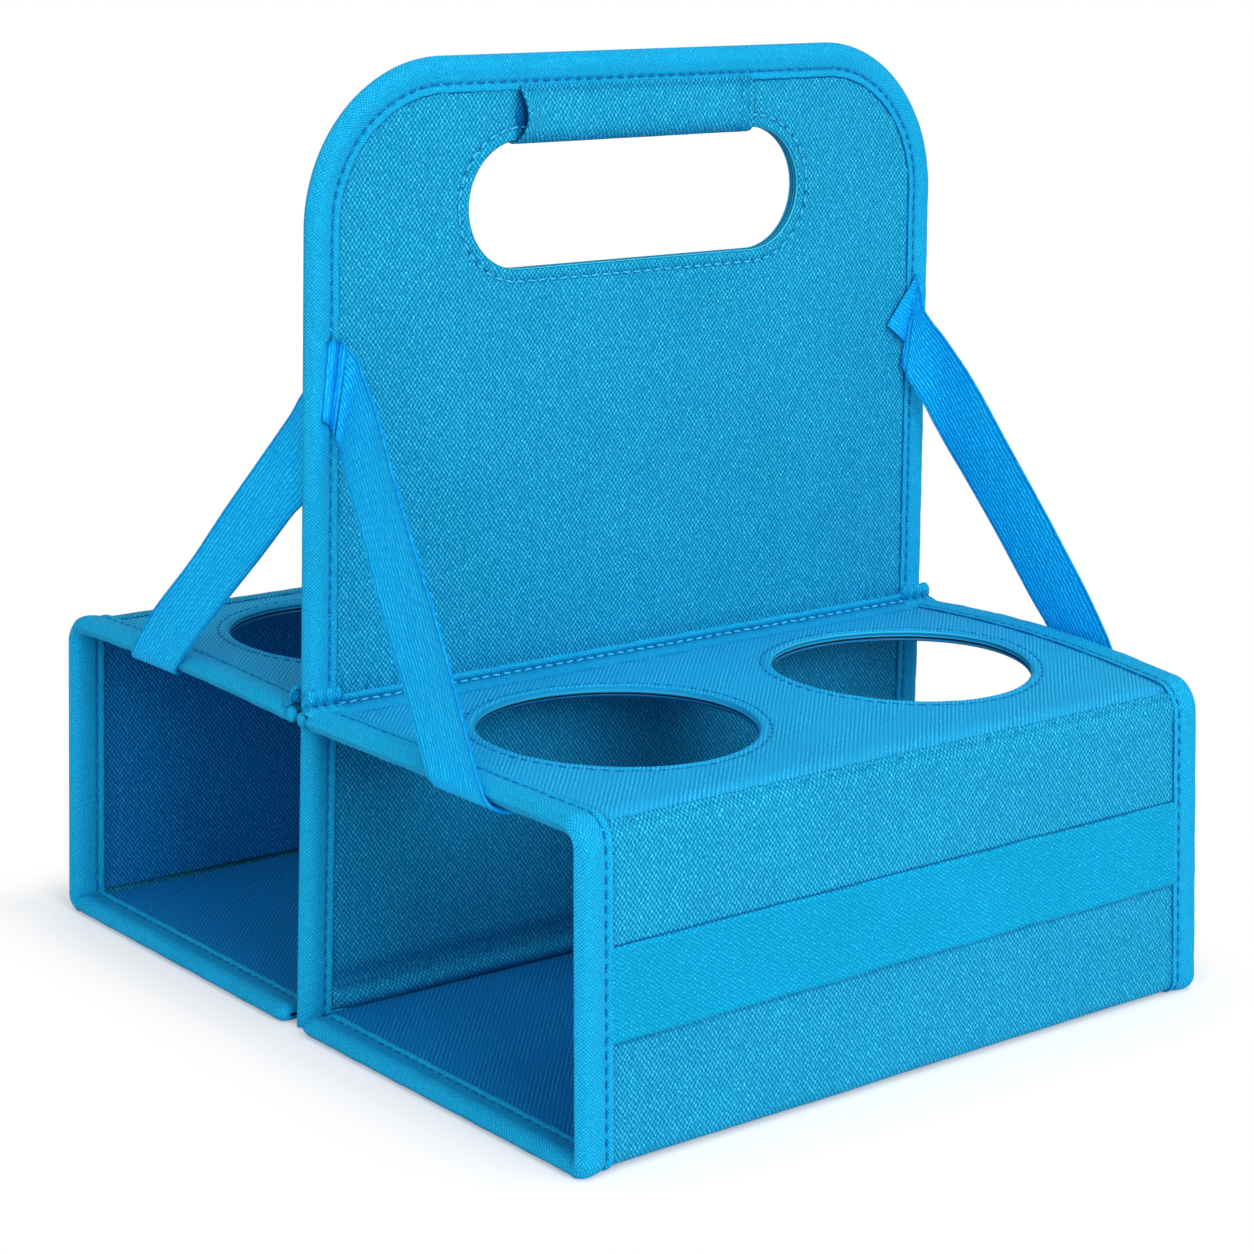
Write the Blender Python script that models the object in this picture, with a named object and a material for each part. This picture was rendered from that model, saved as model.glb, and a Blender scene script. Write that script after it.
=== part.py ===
"""Collapsible drink carrier: two cup boxes that fold up flat against a handle panel.

Metres, +Z up. +X runs across the carrier, towards the right box's side panel, and -Y is the
front, where both boxes are open. The origin is the middle of the base, on the floor.
Each box is built as the right one, and the left one is the same box turned half round.
"""

from math import acos, atan2, cos, hypot, pi, sin

import bmesh
import bpy
from mathutils import Matrix, Vector

# Overall sizes
DEPTH = 0.240            # a box, front to rear
SPAN = 0.126             # middle of the carrier to the tape on a side panel
BOX_HEIGHT = 0.094       # floor to the tape on a top panel
HANDLE_INSET = 0.0030    # box's front edge to the handle panel's
HANDLE_HEIGHT = 0.2714   # floor to the top of the handle panel
HANDLE_CORNER = 0.045    # radius of the handle panel's top corners

# Layers of a panel, from the core board out
BOARD = 0.0020           # core board of a box panel
HANDLE_BOARD = 0.0026    # core board of the handle panel
CLOTH = 0.0004           # cover and lining
TAPE = 0.0004            # binding tape
CLEAR = 0.0003           # gap kept between pieces that touch

# Openings
CUP_HOLE = 0.080         # diameter
CUP_X = 0.062            # middle of the carrier to a cup hole's centre
CUP_PITCH = 0.109        # between the two cup holes of a box
HAND_HOLE_WIDTH = 0.124
HAND_HOLE_HEIGHT = 0.036
HAND_HOLE_DROP = 0.0414  # top of the handle panel to the hand hole's centre

# Sewn-on pieces
TAPE_WIDTH = 0.0115      # a box panel's bound edge to the tape's hem
HANDLE_TAPE_WIDTH = 0.0095
TAPE_BEND = 0.0020       # outside radius of the tape where it turns over an edge
WELT = 0.0009            # hinge cloth, standing on the handle panel
WELT_HEIGHT = 0.0033     # hinge cloth above the box panel that it carries
WELT_FOOT = 0.0030       # hinge cloth on that box panel
FOLD_CORE = 0.0005       # inside radius of the tape round a box's outer corner
WRAP_LENGTH = 0.086      # cloth wrapped round the grip bar
WRAP = 0.0009            # its thickness
WRAP_BEND = 0.0012       # outside radius where it turns under the bar
BAND_WIDTH = 0.0252      # webbing band on a side panel
BAND_Z = 0.047           # floor to the middle of the band
BAND = 0.0008

# Elastic straps
STRAP_WIDTH = 0.0195
STRAP = 0.0010           # thickness
STRAP_DROP = 0.0845      # top of the handle panel to the middle of the strap's crease
STRAP_INSET = 0.0080     # handle panel's edge to that crease, where the strap leaves its face
STRAP_CREASE = 0.0225    # length of the crease
STRAP_TAB = 0.0070       # sewn end on the handle panel
STRAP_FOOT_X = 0.0715    # middle of the carrier to where the strap meets the top panel
STRAP_TAIL = 0.008       # sewn end under the top panel
STRAP_GAP = 0.0006       # between the strap and the edge that it goes round
TAB_TAPER = 0.7          # the tab's end as a share of the crease
CREASE_SHARE = 0.35      # share of the strap in which it squares up after the crease

# Roundness
HOLE_POINTS = 48
CORNER_STEPS = 12
BEND_STEPS = 6
TURN_STEPS = 3
STRAP_STEPS = 12
STRAP_BEND_STEPS = 8

# Faces of the panels, measured from their middle
SKIN = BOARD / 2 + CLEAR + CLOTH
EDGE = SKIN + CLEAR + TAPE
HANDLE_SKIN = HANDLE_BOARD / 2 + CLEAR + CLOTH
HANDLE_EDGE = HANDLE_SKIN + CLEAR + TAPE

# The handle panel's front to rear, its hole's height, and where the straps leave it
HANDLE_DEPTH = DEPTH - 2 * HANDLE_INSET
HAND_HOLE_Z = HANDLE_HEIGHT - HAND_HOLE_DROP
STRAP_TOP_Z = HANDLE_HEIGHT - STRAP_DROP

# Middles of the box panels, and the hinge axes of the right box, which run along Y
TOP_MID = BOX_HEIGHT - EDGE
BASE_MID = EDGE
SIDE_MID = SPAN - EDGE
HINGE_X = HANDLE_EDGE + WELT
TOP_AXIS = Vector((HINGE_X, 0, BOX_HEIGHT))
BASE_AXIS = Vector((HINGE_X, 0, 2 * EDGE))
SIDE_AXIS = Vector((SPAN - 2 * EDGE, 0, BOX_HEIGHT - 2 * EDGE))

# Where the panels stop: at the hinge, and at the centres of the tape's two corner bends
PANEL_START = HINGE_X + CLEAR
CORNER_X = SPAN - 2 * EDGE - FOLD_CORE
CORNER_TOP = BOX_HEIGHT - 2 * EDGE - FOLD_CORE
CORNER_BASE = 2 * EDGE + FOLD_CORE
HEM_Y = DEPTH / 2 - TAPE_WIDTH - CLEAR
HANDLE_HEM_Y = HANDLE_DEPTH / 2 - HANDLE_TAPE_WIDTH - CLEAR

X = Vector((1, 0, 0))
Y = Vector((0, 1, 0))
Z = Vector((0, 0, 1))
HALF_TURN = Matrix.Rotation(pi, 4, "Z")


def collection(name):
    group = bpy.data.collections.new(name)
    bpy.context.scene.collection.children.link(group)
    return group


def finish(name, colour, roughness):
    """A plain Principled material."""
    material = bpy.data.materials.new(name)
    material.use_nodes = True
    shader = material.node_tree.nodes["Principled BSDF"]
    shader.inputs["Base Color"].default_value = (*colour, 1)
    shader.inputs["Roughness"].default_value = roughness
    shader.inputs["Metallic"].default_value = 0
    return material


def place(obj, body, material, matrix=None):
    """Hang an object under its body's empty, with its data in the box's own frame."""
    obj.data.materials.append(material)
    PARTS.objects.link(obj)
    obj.parent = body
    obj.matrix_basis = Matrix.Translation(-Vector(body["axis"])) @ (matrix or Matrix())
    return obj


def axes(across, up, centre):
    """The matrix that lays a flat outline's own X and Y along two directions."""
    normal = across.cross(up)
    matrix = Matrix((across, up, normal)).transposed().to_4x4()
    matrix.translation = centre
    return matrix


def arc(centre, radius, start, end, steps):
    """Points of an arc, both ends included."""
    angles = [start + (end - start) * i / steps for i in range(steps + 1)]
    return [(centre[0] + radius * cos(a), centre[1] + radius * sin(a)) for a in angles]


def circle(centre, radius):
    return arc(centre, radius, 0, 2 * pi, HOLE_POINTS)[:-1]


def rectangle(low, high):
    return [(low[0], low[1]), (high[0], low[1]), (high[0], high[1]), (low[0], high[1])]


def stadium(centre, width, height):
    """A slot with round ends, lying along its own X."""
    radius = height / 2
    reach = width / 2 - radius
    right = arc((centre[0] + reach, centre[1]), radius, -pi / 2, pi / 2, CORNER_STEPS)
    left = arc((centre[0] - reach, centre[1]), radius, pi / 2, 3 * pi / 2, CORNER_STEPS)
    return right + left


def extrusion(name, outlines, thickness, matrix, body, material):
    """A flat outline, with the holes that follow it in the list, given a thickness."""
    curve = bpy.data.curves.new(name, "CURVE")
    curve.dimensions = "2D"
    curve.fill_mode = "BOTH"
    curve.extrude = thickness / 2
    for outline in outlines:
        spline = curve.splines.new("POLY")
        spline.points.add(len(outline) - 1)
        for point, (u, v) in zip(spline.points, outline):
            point.co = (u, v, 0, 1)
        spline.use_cyclic_u = True
    return place(bpy.data.objects.new(name, curve), body, material, matrix)


def folded_tape(face, thickness, width, radius):
    """Section of a tape folded over an edge: its own X runs in from the edge."""
    inside = radius - thickness
    high = (radius, face - radius)
    low = (radius, radius - face)
    outer = arc(high, radius, pi / 2, pi, TURN_STEPS) + arc(low, radius, pi, 3 * pi / 2, TURN_STEPS)
    inner = arc(low, inside, 3 * pi / 2, pi, TURN_STEPS) + arc(high, inside, pi, pi / 2, TURN_STEPS)
    hem = [(width, -face), (width, thickness - face)]
    far_hem = [(width, face - thickness), (width, face)]
    return outer + hem + inner + far_hem


def last_face(geometry):
    return next(item for item in geometry if isinstance(item, bmesh.types.BMFace))


def run(bm, face, step):
    """Pull the end face of a section along a straight step."""
    grown = bmesh.ops.extrude_face_region(bm, geom=[face, *face.edges])["geom"]
    points = [item for item in grown if isinstance(item, bmesh.types.BMVert)]
    bmesh.ops.translate(bm, verts=points, vec=step)
    return last_face(grown)


def bend(bm, face, centre, axis, steps):
    """Swing the end face of a section a quarter turn about an axis."""
    geometry = [face, *face.edges]
    spun = bmesh.ops.spin(bm, geom=geometry, cent=centre, axis=axis, angle=pi / 2, steps=steps)
    return last_face(spun["geom_last"])


def swept_tape(name, section, start, inward, normal, moves, body, material):
    """A folded tape along an edge: each move is a straight step, or a centre, axis and steps."""
    bm = bmesh.new()
    points = [bm.verts.new(start + inward * u + normal * v) for u, v in section]
    face = bm.faces.new(points)
    for move in moves:
        face = run(bm, face, move) if isinstance(move, Vector) else bend(bm, face, *move)
    bmesh.ops.recalc_face_normals(bm, faces=bm.faces)
    mesh = bpy.data.meshes.new(name)
    bm.to_mesh(mesh)
    bm.free()
    return place(bpy.data.objects.new(name, mesh), body, material)


def ribbon(name, stations, body, material):
    """A flat strip through stations of middle, half width and half thickness."""
    bm = bmesh.new()
    rings = []
    for middle, half_width, half_thickness in stations:
        corners = (
            middle - half_width - half_thickness,
            middle + half_width - half_thickness,
            middle + half_width + half_thickness,
            middle - half_width + half_thickness,
        )
        rings.append([bm.verts.new(corner) for corner in corners])
    for ring, following in zip(rings, rings[1:]):
        for i in range(4):
            j = (i + 1) % 4
            bm.faces.new((ring[i], ring[j], following[j], following[i]))
    bm.faces.new(reversed(rings[0]))
    bm.faces.new(rings[-1])
    if bm.calc_volume(signed=True) < 0:
        bmesh.ops.reverse_faces(bm, faces=bm.faces)
    bmesh.ops.triangulate(bm, faces=bm.faces)
    mesh = bpy.data.meshes.new(name)
    bm.to_mesh(mesh)
    bm.free()
    return place(bpy.data.objects.new(name, mesh), body, material)


def empty(name, axis, turn, parent=None):
    """A body's pivot, on its hinge axis."""
    pivot = bpy.data.objects.new(name, None)
    PIVOTS.objects.link(pivot)
    pivot["axis"] = axis
    if parent:
        pivot.parent = parent
        pivot.matrix_basis = Matrix.Translation(axis - Vector(parent["axis"]))
    else:
        pivot.matrix_basis = turn @ Matrix.Translation(axis)
    return pivot


def handle_outline(inset):
    """Outline of the handle panel, in (y, z), drawn in from its bound edge."""
    half = HANDLE_DEPTH / 2 - inset
    top = HANDLE_HEIGHT - inset
    radius = HANDLE_CORNER - inset
    rear = arc((half - radius, top - radius), radius, 0, pi / 2, CORNER_STEPS)
    front = arc((radius - half, top - radius), radius, pi / 2, pi, CORNER_STEPS)
    return [(-half, inset), (half, inset)] + rear + front


def make_handle():
    """The handle panel: board, two covers, bound edges and the wrap round its grip bar."""
    body = empty("handle_body", Vector(), Matrix())
    outline = handle_outline(HANDLE_EDGE)
    hand_hole = stadium((0, HAND_HOLE_Z), HAND_HOLE_WIDTH, HAND_HOLE_HEIGHT)
    panel = [outline, hand_hole]
    extrusion("handle_board", panel, HANDLE_BOARD, axes(Y, Z, Vector()), body, CORE)
    for name, side in (("handle_right_cover", 1), ("handle_left_cover", -1)):
        face = X * side * (HANDLE_SKIN - CLOTH / 2)
        extrusion(name, panel, CLOTH, axes(Y, Z, face), body, OXFORD)

    half = HANDLE_DEPTH / 2
    shoulder = HANDLE_HEIGHT - HANDLE_CORNER
    moves = (
        Z * (shoulder - CLEAR),
        (Vector((0, HANDLE_CORNER - half, shoulder)), -X, CORNER_STEPS),
        Y * (HANDLE_DEPTH - 2 * HANDLE_CORNER),
        (Vector((0, half - HANDLE_CORNER, shoulder)), -X, CORNER_STEPS),
        -Z * (shoulder - CLEAR),
    )
    section = folded_tape(HANDLE_EDGE, TAPE, HANDLE_TAPE_WIDTH, TAPE_BEND)
    start = Vector((0, -half, CLEAR))
    swept_tape("handle_tape", section, start, Y, X, moves, body, BINDING)

    below_hinge = BASE_AXIS.z - TAPE - CLEAR
    base = folded_tape(HANDLE_EDGE, TAPE, below_hinge, TAPE_BEND)
    matrix = axes(Z, X, Vector())
    extrusion("handle_base_tape", [base], 2 * HANDLE_HEM_Y, matrix, body, BINDING)

    face = HANDLE_SKIN + CLEAR + WRAP
    wrap_bottom = HAND_HOLE_Z + HAND_HOLE_HEIGHT / 2 - CLEAR - WRAP
    wrap_top = HANDLE_HEIGHT - HANDLE_TAPE_WIDTH - CLEAR
    wrap = folded_tape(face, WRAP, wrap_top - wrap_bottom, WRAP_BEND)
    matrix = axes(Z, X, Z * wrap_bottom)
    extrusion("grip_wrap", [wrap], WRAP_LENGTH, matrix, body, OXFORD)
    return body


def box_panel(name, body, middle, normal, along, low, high, cloth, holes=()):
    """Board, cover and lining of a panel that runs from low to high along one direction."""
    half = DEPTH / 2 - EDGE
    flat = along.cross(normal)
    matrix = axes(along, -flat, middle)
    outlines = [rectangle((low, -half), (high, half)), *holes]
    extrusion(name + "_board", outlines, BOARD, matrix, body, CORE)
    for suffix, sign, material in (("_cover", 1, cloth), ("_lining", -1, OXFORD)):
        shift = Matrix.Translation(normal * sign * (SKIN - CLOTH / 2))
        extrusion(name + suffix, outlines, CLOTH, shift @ matrix, body, material)


def edge_tapes(name, ends, body, start, normal, moves):
    """The tapes over a panel's front and rear edges."""
    section = folded_tape(EDGE, TAPE, TAPE_WIDTH, TAPE_BEND)
    for end, sign in ends:
        first = start + Y * sign * DEPTH / 2
        full_name = f"{name}_{end}_tape"
        swept_tape(full_name, section, first, Y * -sign, normal, moves, body, BINDING)


def hinge_cloth(name, axis, body):
    """The cloth that hinges a box panel to the handle panel: it stands on one, lies on the other."""
    wall = HANDLE_SKIN + CLEAR
    foot = axis.z - TAPE
    outline = [
        (wall, foot),
        (axis.x + WELT_FOOT, foot),
        (axis.x + WELT_FOOT, axis.z),
        (wall + WELT, axis.z),
        (wall + WELT, axis.z + WELT_HEIGHT),
        (wall, axis.z + WELT_HEIGHT),
    ]
    extrusion(name, [outline], 2 * HANDLE_HEM_Y, axes(X, Z, Vector()), body, OXFORD)


def corner_fold(name, centre, start, cloth, body):
    """The cloth that bends round a box's outer corner, between two covers."""
    radius = FOLD_CORE + EDGE + SKIN
    outer = arc(centre, radius, start, start + pi / 2, BEND_STEPS)
    inner = arc(centre, radius - CLOTH, start + pi / 2, start, BEND_STEPS)
    matrix = axes(X, Z, Vector())
    extrusion(name, [outer + inner], 2 * HEM_Y, matrix, body, cloth)


def strap_stations(end):
    """The elastic strap of one end of the right box, from its sewn tab to its tail.

    The tab lies on the handle panel. The strap leaves that panel at an upright crease, runs down
    as a flat ribbon to the bound edge of the top panel, and goes round it.
    """
    thick = STRAP / 2
    out = Y * end
    wall = HANDLE_EDGE + CLEAR + thick
    crease = Vector((wall, end * (HANDLE_DEPTH / 2 - STRAP_INSET), STRAP_TOP_Z))
    edge = Vector((0, end * (DEPTH / 2 - EDGE), TOP_MID))
    radius = EDGE + STRAP_GAP + thick
    inset = end * (edge.y - crease.y)
    rise = crease.z - edge.z
    touch = atan2(rise, inset) - acos(radius / hypot(inset, rise))

    def facing(angle):
        return out * cos(angle) + Z * sin(angle)

    foot = edge + facing(touch) * radius + X * STRAP_FOOT_X
    line = (foot - crease).normalized()
    slope = line.x / hypot(line.y, line.z)
    square = line.cross(facing(touch)) * end * STRAP_WIDTH / 2
    level = X * STRAP_WIDTH / 2 / hypot(line.y, line.z)
    upright = Z * STRAP_CREASE / 2

    tab = crease - out * STRAP_TAB
    stations = [(tab, upright * TAB_TAPER, -X * thick), (crease, upright, (out - X) * thick)]
    for i in range(1, STRAP_STEPS):
        share = i / STRAP_STEPS
        across = upright.lerp(square, min(share / CREASE_SHARE, 1))
        across = across.lerp(level, max((share - 1) / CREASE_SHARE + 1, 0))
        stations.append((crease.lerp(foot, share), across, facing(touch) * thick))

    step = (touch + pi / 2) / STRAP_BEND_STEPS
    for i in range(STRAP_BEND_STEPS + 1):
        angle = touch - step * i
        middle = edge + facing(angle) * radius + X * (STRAP_FOOT_X + step * i * radius * slope)
        stations.append((middle, level, facing(angle) * thick))
    tail = middle - out * STRAP_TAIL + X * STRAP_TAIL * slope
    stations.append((tail, level, facing(angle) * thick))
    return stations


def make_box(side, turn, handle):
    """One cup box: top, side and base panels on four parallel hinges, and its two straps."""
    ends = (("front", -1), ("rear", 1)) if side == "right" else (("rear", -1), ("front", 1))
    top = empty(side + "_top_body", TOP_AXIS, turn)
    base = empty(side + "_base_body", BASE_AXIS, turn)
    wall = empty(side + "_side_body", SIDE_AXIS, turn, parent=top)
    root = empty(side + "_root", Vector(), turn, parent=None)
    root.parent = handle

    holes = [circle((CUP_X, y * CUP_PITCH / 2), CUP_HOLE / 2) for y in (-1, 1)]
    name = side + "_top"
    middle = Z * TOP_MID
    box_panel(name, top, middle, Z, X, PANEL_START, CORNER_X - CLEAR, RIBBED, holes)
    start = Vector((PANEL_START, 0, TOP_MID))
    corner = Vector((CORNER_X, 0, CORNER_TOP))
    moves = (X * (CORNER_X - PANEL_START), (corner, Y, BEND_STEPS))
    edge_tapes(name, ends, top, start, Z, moves)

    name = side + "_side"
    middle = X * SIDE_MID
    low = CORNER_BASE + CLEAR
    high = CORNER_TOP - CLEAR
    box_panel(name, wall, middle, X, Z, low, high, OXFORD)
    start = Vector((SIDE_MID, 0, high))
    corner = Vector((CORNER_X, 0, CORNER_BASE))
    moves = (-Z * (high - CORNER_BASE), (corner, Y, BEND_STEPS))
    edge_tapes(name, ends, wall, start, X, moves)
    band = rectangle((-HEM_Y, BAND_Z - BAND_WIDTH / 2), (HEM_Y, BAND_Z + BAND_WIDTH / 2))
    face = X * (SIDE_MID + SKIN + CLEAR + BAND / 2)
    extrusion(side + "_side_band", [band], BAND, axes(Y, Z, face), wall, WEBBING)

    name = side + "_base"
    middle = Z * BASE_MID
    box_panel(name, base, middle, -Z, X, PANEL_START, CORNER_X - CLEAR, OXFORD)
    start = Vector((CORNER_X - CLEAR, 0, BASE_MID))
    moves = (-X * (CORNER_X - CLEAR - PANEL_START),)
    edge_tapes(name, ends, base, start, -Z, moves)

    hinge_cloth(side + "_top_hinge", TOP_AXIS, root)
    hinge_cloth(side + "_base_hinge", BASE_AXIS, root)
    corner_fold(side + "_upper_fold", (CORNER_X, CORNER_TOP), 0, RIBBED, top)
    corner_fold(side + "_lower_fold", (CORNER_X, CORNER_BASE), -pi / 2, OXFORD, wall)
    for end, sign in ends:
        ribbon(f"{side}_{end}_strap", strap_stations(sign), root, ELASTIC)


for old in list(bpy.data.objects):
    bpy.data.objects.remove(old)
PARTS = collection("drink_carrier")
PIVOTS = collection("pivots")
OXFORD = finish("oxford_cloth", (0.020, 0.270, 0.560), 0.85)
RIBBED = finish("ribbed_cloth", (0.020, 0.255, 0.530), 0.85)
BINDING = finish("binding_tape", (0.030, 0.380, 0.780), 0.80)
WEBBING = finish("webbing", (0.015, 0.420, 0.760), 0.75)
ELASTIC = finish("elastic", (0.020, 0.300, 0.800), 0.80)
CORE = finish("core_board", (0.012, 0.012, 0.014), 0.60)

HANDLE = make_handle()
make_box("right", Matrix(), HANDLE)
make_box("left", HALF_TURN, HANDLE)
bpy.context.view_layer.update()
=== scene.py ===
"""Looks of the collapsible drink carrier: cloth, bindings, straps and stitches.

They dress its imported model. Metres, +Z up. +X runs across the carrier and -Y is the front. Each
cup box is written as the right one, and the left one is the same box turned half round.
"""

from math import cos, pi, radians, sin

import bmesh
import bpy
import numpy as np
from bpy.props import FloatProperty, FloatVectorProperty, PointerProperty
from mathutils import Matrix, Vector


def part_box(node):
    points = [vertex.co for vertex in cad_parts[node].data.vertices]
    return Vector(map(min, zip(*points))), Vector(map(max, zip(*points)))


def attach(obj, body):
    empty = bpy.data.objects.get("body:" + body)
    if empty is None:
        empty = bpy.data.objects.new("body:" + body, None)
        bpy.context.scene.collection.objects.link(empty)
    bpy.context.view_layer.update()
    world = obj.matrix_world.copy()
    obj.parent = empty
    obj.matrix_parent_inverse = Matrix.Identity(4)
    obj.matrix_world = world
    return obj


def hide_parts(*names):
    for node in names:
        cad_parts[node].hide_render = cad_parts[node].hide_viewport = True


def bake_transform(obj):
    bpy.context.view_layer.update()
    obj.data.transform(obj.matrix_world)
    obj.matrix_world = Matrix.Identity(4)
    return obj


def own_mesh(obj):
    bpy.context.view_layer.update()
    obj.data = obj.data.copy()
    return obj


bl_info = {
    "name": "Collapsible Drink Carrier",
    "version": (1, 0, 0),
    "blender": (4, 5, 0),
    "location": "3D View > Sidebar > Carrier",
    "description": "Cloth, bindings, straps and stitches of a collapsible drink carrier",
    "category": "Object",
}

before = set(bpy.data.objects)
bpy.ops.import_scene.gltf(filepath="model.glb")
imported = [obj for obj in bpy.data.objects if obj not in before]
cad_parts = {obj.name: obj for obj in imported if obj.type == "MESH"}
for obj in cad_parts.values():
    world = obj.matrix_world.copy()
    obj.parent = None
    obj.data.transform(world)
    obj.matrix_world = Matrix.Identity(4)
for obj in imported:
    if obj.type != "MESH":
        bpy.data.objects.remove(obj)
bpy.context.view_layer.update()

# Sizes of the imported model
HALF_DEPTH = -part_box("right_side_front_tape")[0].y
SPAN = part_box("right_side_front_tape")[1].x
BOX_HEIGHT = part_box("right_top_front_tape")[1].z
HANDLE_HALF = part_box("handle_tape")[1].y
HANDLE_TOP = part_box("handle_tape")[1].z
HANDLE_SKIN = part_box("handle_right_cover")[1].x
BAND_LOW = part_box("right_side_band")[0].z
BAND_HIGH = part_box("right_side_band")[1].z

# Layers of a box panel, from its middle out
SKIN = 0.0017
EDGE = 0.0024
TOP_MID = BOX_HEIGHT - EDGE
BASE_MID = EDGE
SIDE_MID = SPAN - EDGE
PANEL_START = 0.0039
FOLD = 0.0056                # middle of a panel to the centre of its upper corner
UPPER = np.array((SIDE_MID - FOLD, TOP_MID - FOLD))
LOWER = np.array((SPAN - 0.0053, 0.0053))
TUCK = 0.0095                # bound edge to the cloth's own edge under the tape
HANDLE_RADIUS = 0.045
STATION = 0.00076            # between a binding's cross sections
CLOTH = 0.0004               # thickness of a cover or a lining
TAPE_SEAM = 0.0024           # a tape's hem to its stitches
HAND_SEAM = 0.0032           # hand hole's edge to its stitches
CUP_SEAM = 0.0030            # cup hole's edge to its stitches
HAND_STEPS = 330             # points round the hand hole
CUP_STEPS = 260              # points round a cup hole


# ---------------------------------------------------------------- meshes


class Cloth:
    """Grids of points that become one mesh, with cloth coordinates and a painted shade at each
    point.
    """

    def __init__(self):
        self.points, self.faces, self.coords, self.shades = [], [], [], []
        self.count = 0

    def grid(self, points, coords, shade):
        rows, columns = points.shape[:2]
        index = np.arange(rows * columns).reshape(rows, columns) + self.count
        corners = (index[:-1, :-1], index[1:, :-1], index[1:, 1:], index[:-1, 1:])
        self.faces.append(np.stack(corners, axis=-1).reshape(-1, 4))
        self.points.append(points.reshape(-1, 3))
        self.coords.append(coords.reshape(-1, 2))
        self.shades.append(shade.reshape(-1))
        self.count += rows * columns

    def shell(self, points, coords, thickness, shade=None, loop=False, rim_shade=0.0):
        """A cloth with its outer face through the points; a loop's last column is its first."""
        shade = np.zeros(points.shape[:2]) if shade is None else shade
        inner = points - normals(points, loop) * thickness
        self.grid(points, coords, shade)
        self.grid(inner[:, ::-1], coords[:, ::-1], shade[:, ::-1])
        rims = [(0, 1, shade[0]), (-1, -1, shade[-1])]
        if not loop:
            rims += [(np.s_[:, 0], -1, rim_shade), (np.s_[:, -1], 1, rim_shade)]
        for edge, order, mark in rims:
            rim = np.stack((inner[edge], points[edge]))[::order]
            rim_coords = np.stack((coords[edge] + thickness, coords[edge]))[::order]
            self.grid(rim, rim_coords, np.broadcast_to(mark, rim.shape[:2]))
        return self

    def build(self, name, material):
        mesh = bpy.data.meshes.new(name)
        points = np.concatenate(self.points)
        faces = np.concatenate(self.faces)
        mesh.from_pydata(points.tolist(), [], faces.tolist())
        layer = mesh.uv_layers.new(name="cloth")
        layer.data.foreach_set("uv", np.concatenate(self.coords)[faces.reshape(-1)].reshape(-1))
        # Painted shade, kept as a point attribute that darkens the cloth materials
        crease = mesh.attributes.new("crease", "FLOAT", "POINT")
        crease.data.foreach_set("value", np.clip(np.concatenate(self.shades), 0, 1))
        bm = bmesh.new()
        bm.from_mesh(mesh)
        bmesh.ops.remove_doubles(bm, verts=bm.verts, dist=1e-6)
        bmesh.ops.dissolve_degenerate(bm, edges=bm.edges, dist=1e-7)
        holes = [edge for edge in bm.edges if edge.is_boundary]
        if holes:
            bmesh.ops.holes_fill(bm, edges=holes, sides=0)
        bmesh.ops.recalc_face_normals(bm, faces=bm.faces)
        if bm.calc_volume(signed=True) < 0:
            bmesh.ops.reverse_faces(bm, faces=bm.faces)
        bm.to_mesh(mesh)
        bm.free()
        mesh.shade_smooth()
        mesh.set_sharp_from_angle(angle=radians(50))
        mesh.materials.append(material)
        return link(name, mesh)


def link(name, data):
    """A new object in the scene."""
    made = bpy.data.objects.new(name, data)
    bpy.context.scene.collection.objects.link(made)
    return made


def normals(points, loop=False):
    """Unit normals of a grid of points."""
    if loop:
        ring = np.concatenate((points[:, -2:-1], points, points[:, 1:2]), axis=1)
        across = np.gradient(ring, axis=1)[:, 1:-1]
    else:
        across = np.gradient(points, axis=1)
    normal = np.cross(np.gradient(points, axis=0), across)
    return normal / np.maximum(np.linalg.norm(normal, axis=2, keepdims=True), 1e-12)


def run(points):
    """The distance along a line at each of its points."""
    return np.concatenate(((0,), np.cumsum(np.linalg.norm(np.diff(points, axis=0), axis=1))))


def stack(*parts):
    """Coordinates of any matching shapes as points."""
    return np.stack(np.broadcast_arrays(*parts), axis=-1)


def steps(low, high, size):
    """Even steps of about one size."""
    return np.linspace(low, high, max(2, round(abs(high - low) / size) + 1))


def fine_ends(low, high, margin, fine, coarse):
    """Steps that are finer near both ends."""
    return np.concatenate((steps(low, low + margin, fine),
                           steps(low + margin, high - margin, coarse)[1:],
                           steps(high - margin, high, fine)[1:]))


def smooth(value, low, high):
    """From 0 at a low value to 1 at a high one."""
    share = np.clip((value - low) / (high - low), 0, 1)
    return share * share * (3 - 2 * share)


def hill(value, width):
    """1 where a value is 0, and falling off to both sides."""
    return np.exp(-((value / width) ** 2))


def waver(along, length, seed=0.0):
    """A slow uneven wave, between about -1 and 1."""
    turn = 2 * pi * along / length + seed
    return 0.5 * np.sin(turn) + 0.3 * np.sin(1.73 * turn + 1.1) + 0.2 * np.sin(3.1 * turn + 2.3)


def sewn(along, off, sewing):
    """How a sewn line dents the cloth, and its shade, from distances along it and off it."""
    hole = 0.5 - 0.5 * np.cos(2 * pi * along / sewing.pitch)
    groove = hill(off, 0.0007)
    pit = hill(off, 0.0005) * hole**2
    return -sewing.depth * (0.45 * groove + 0.55 * pit), 0.14 * groove + 0.6 * pit


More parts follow.
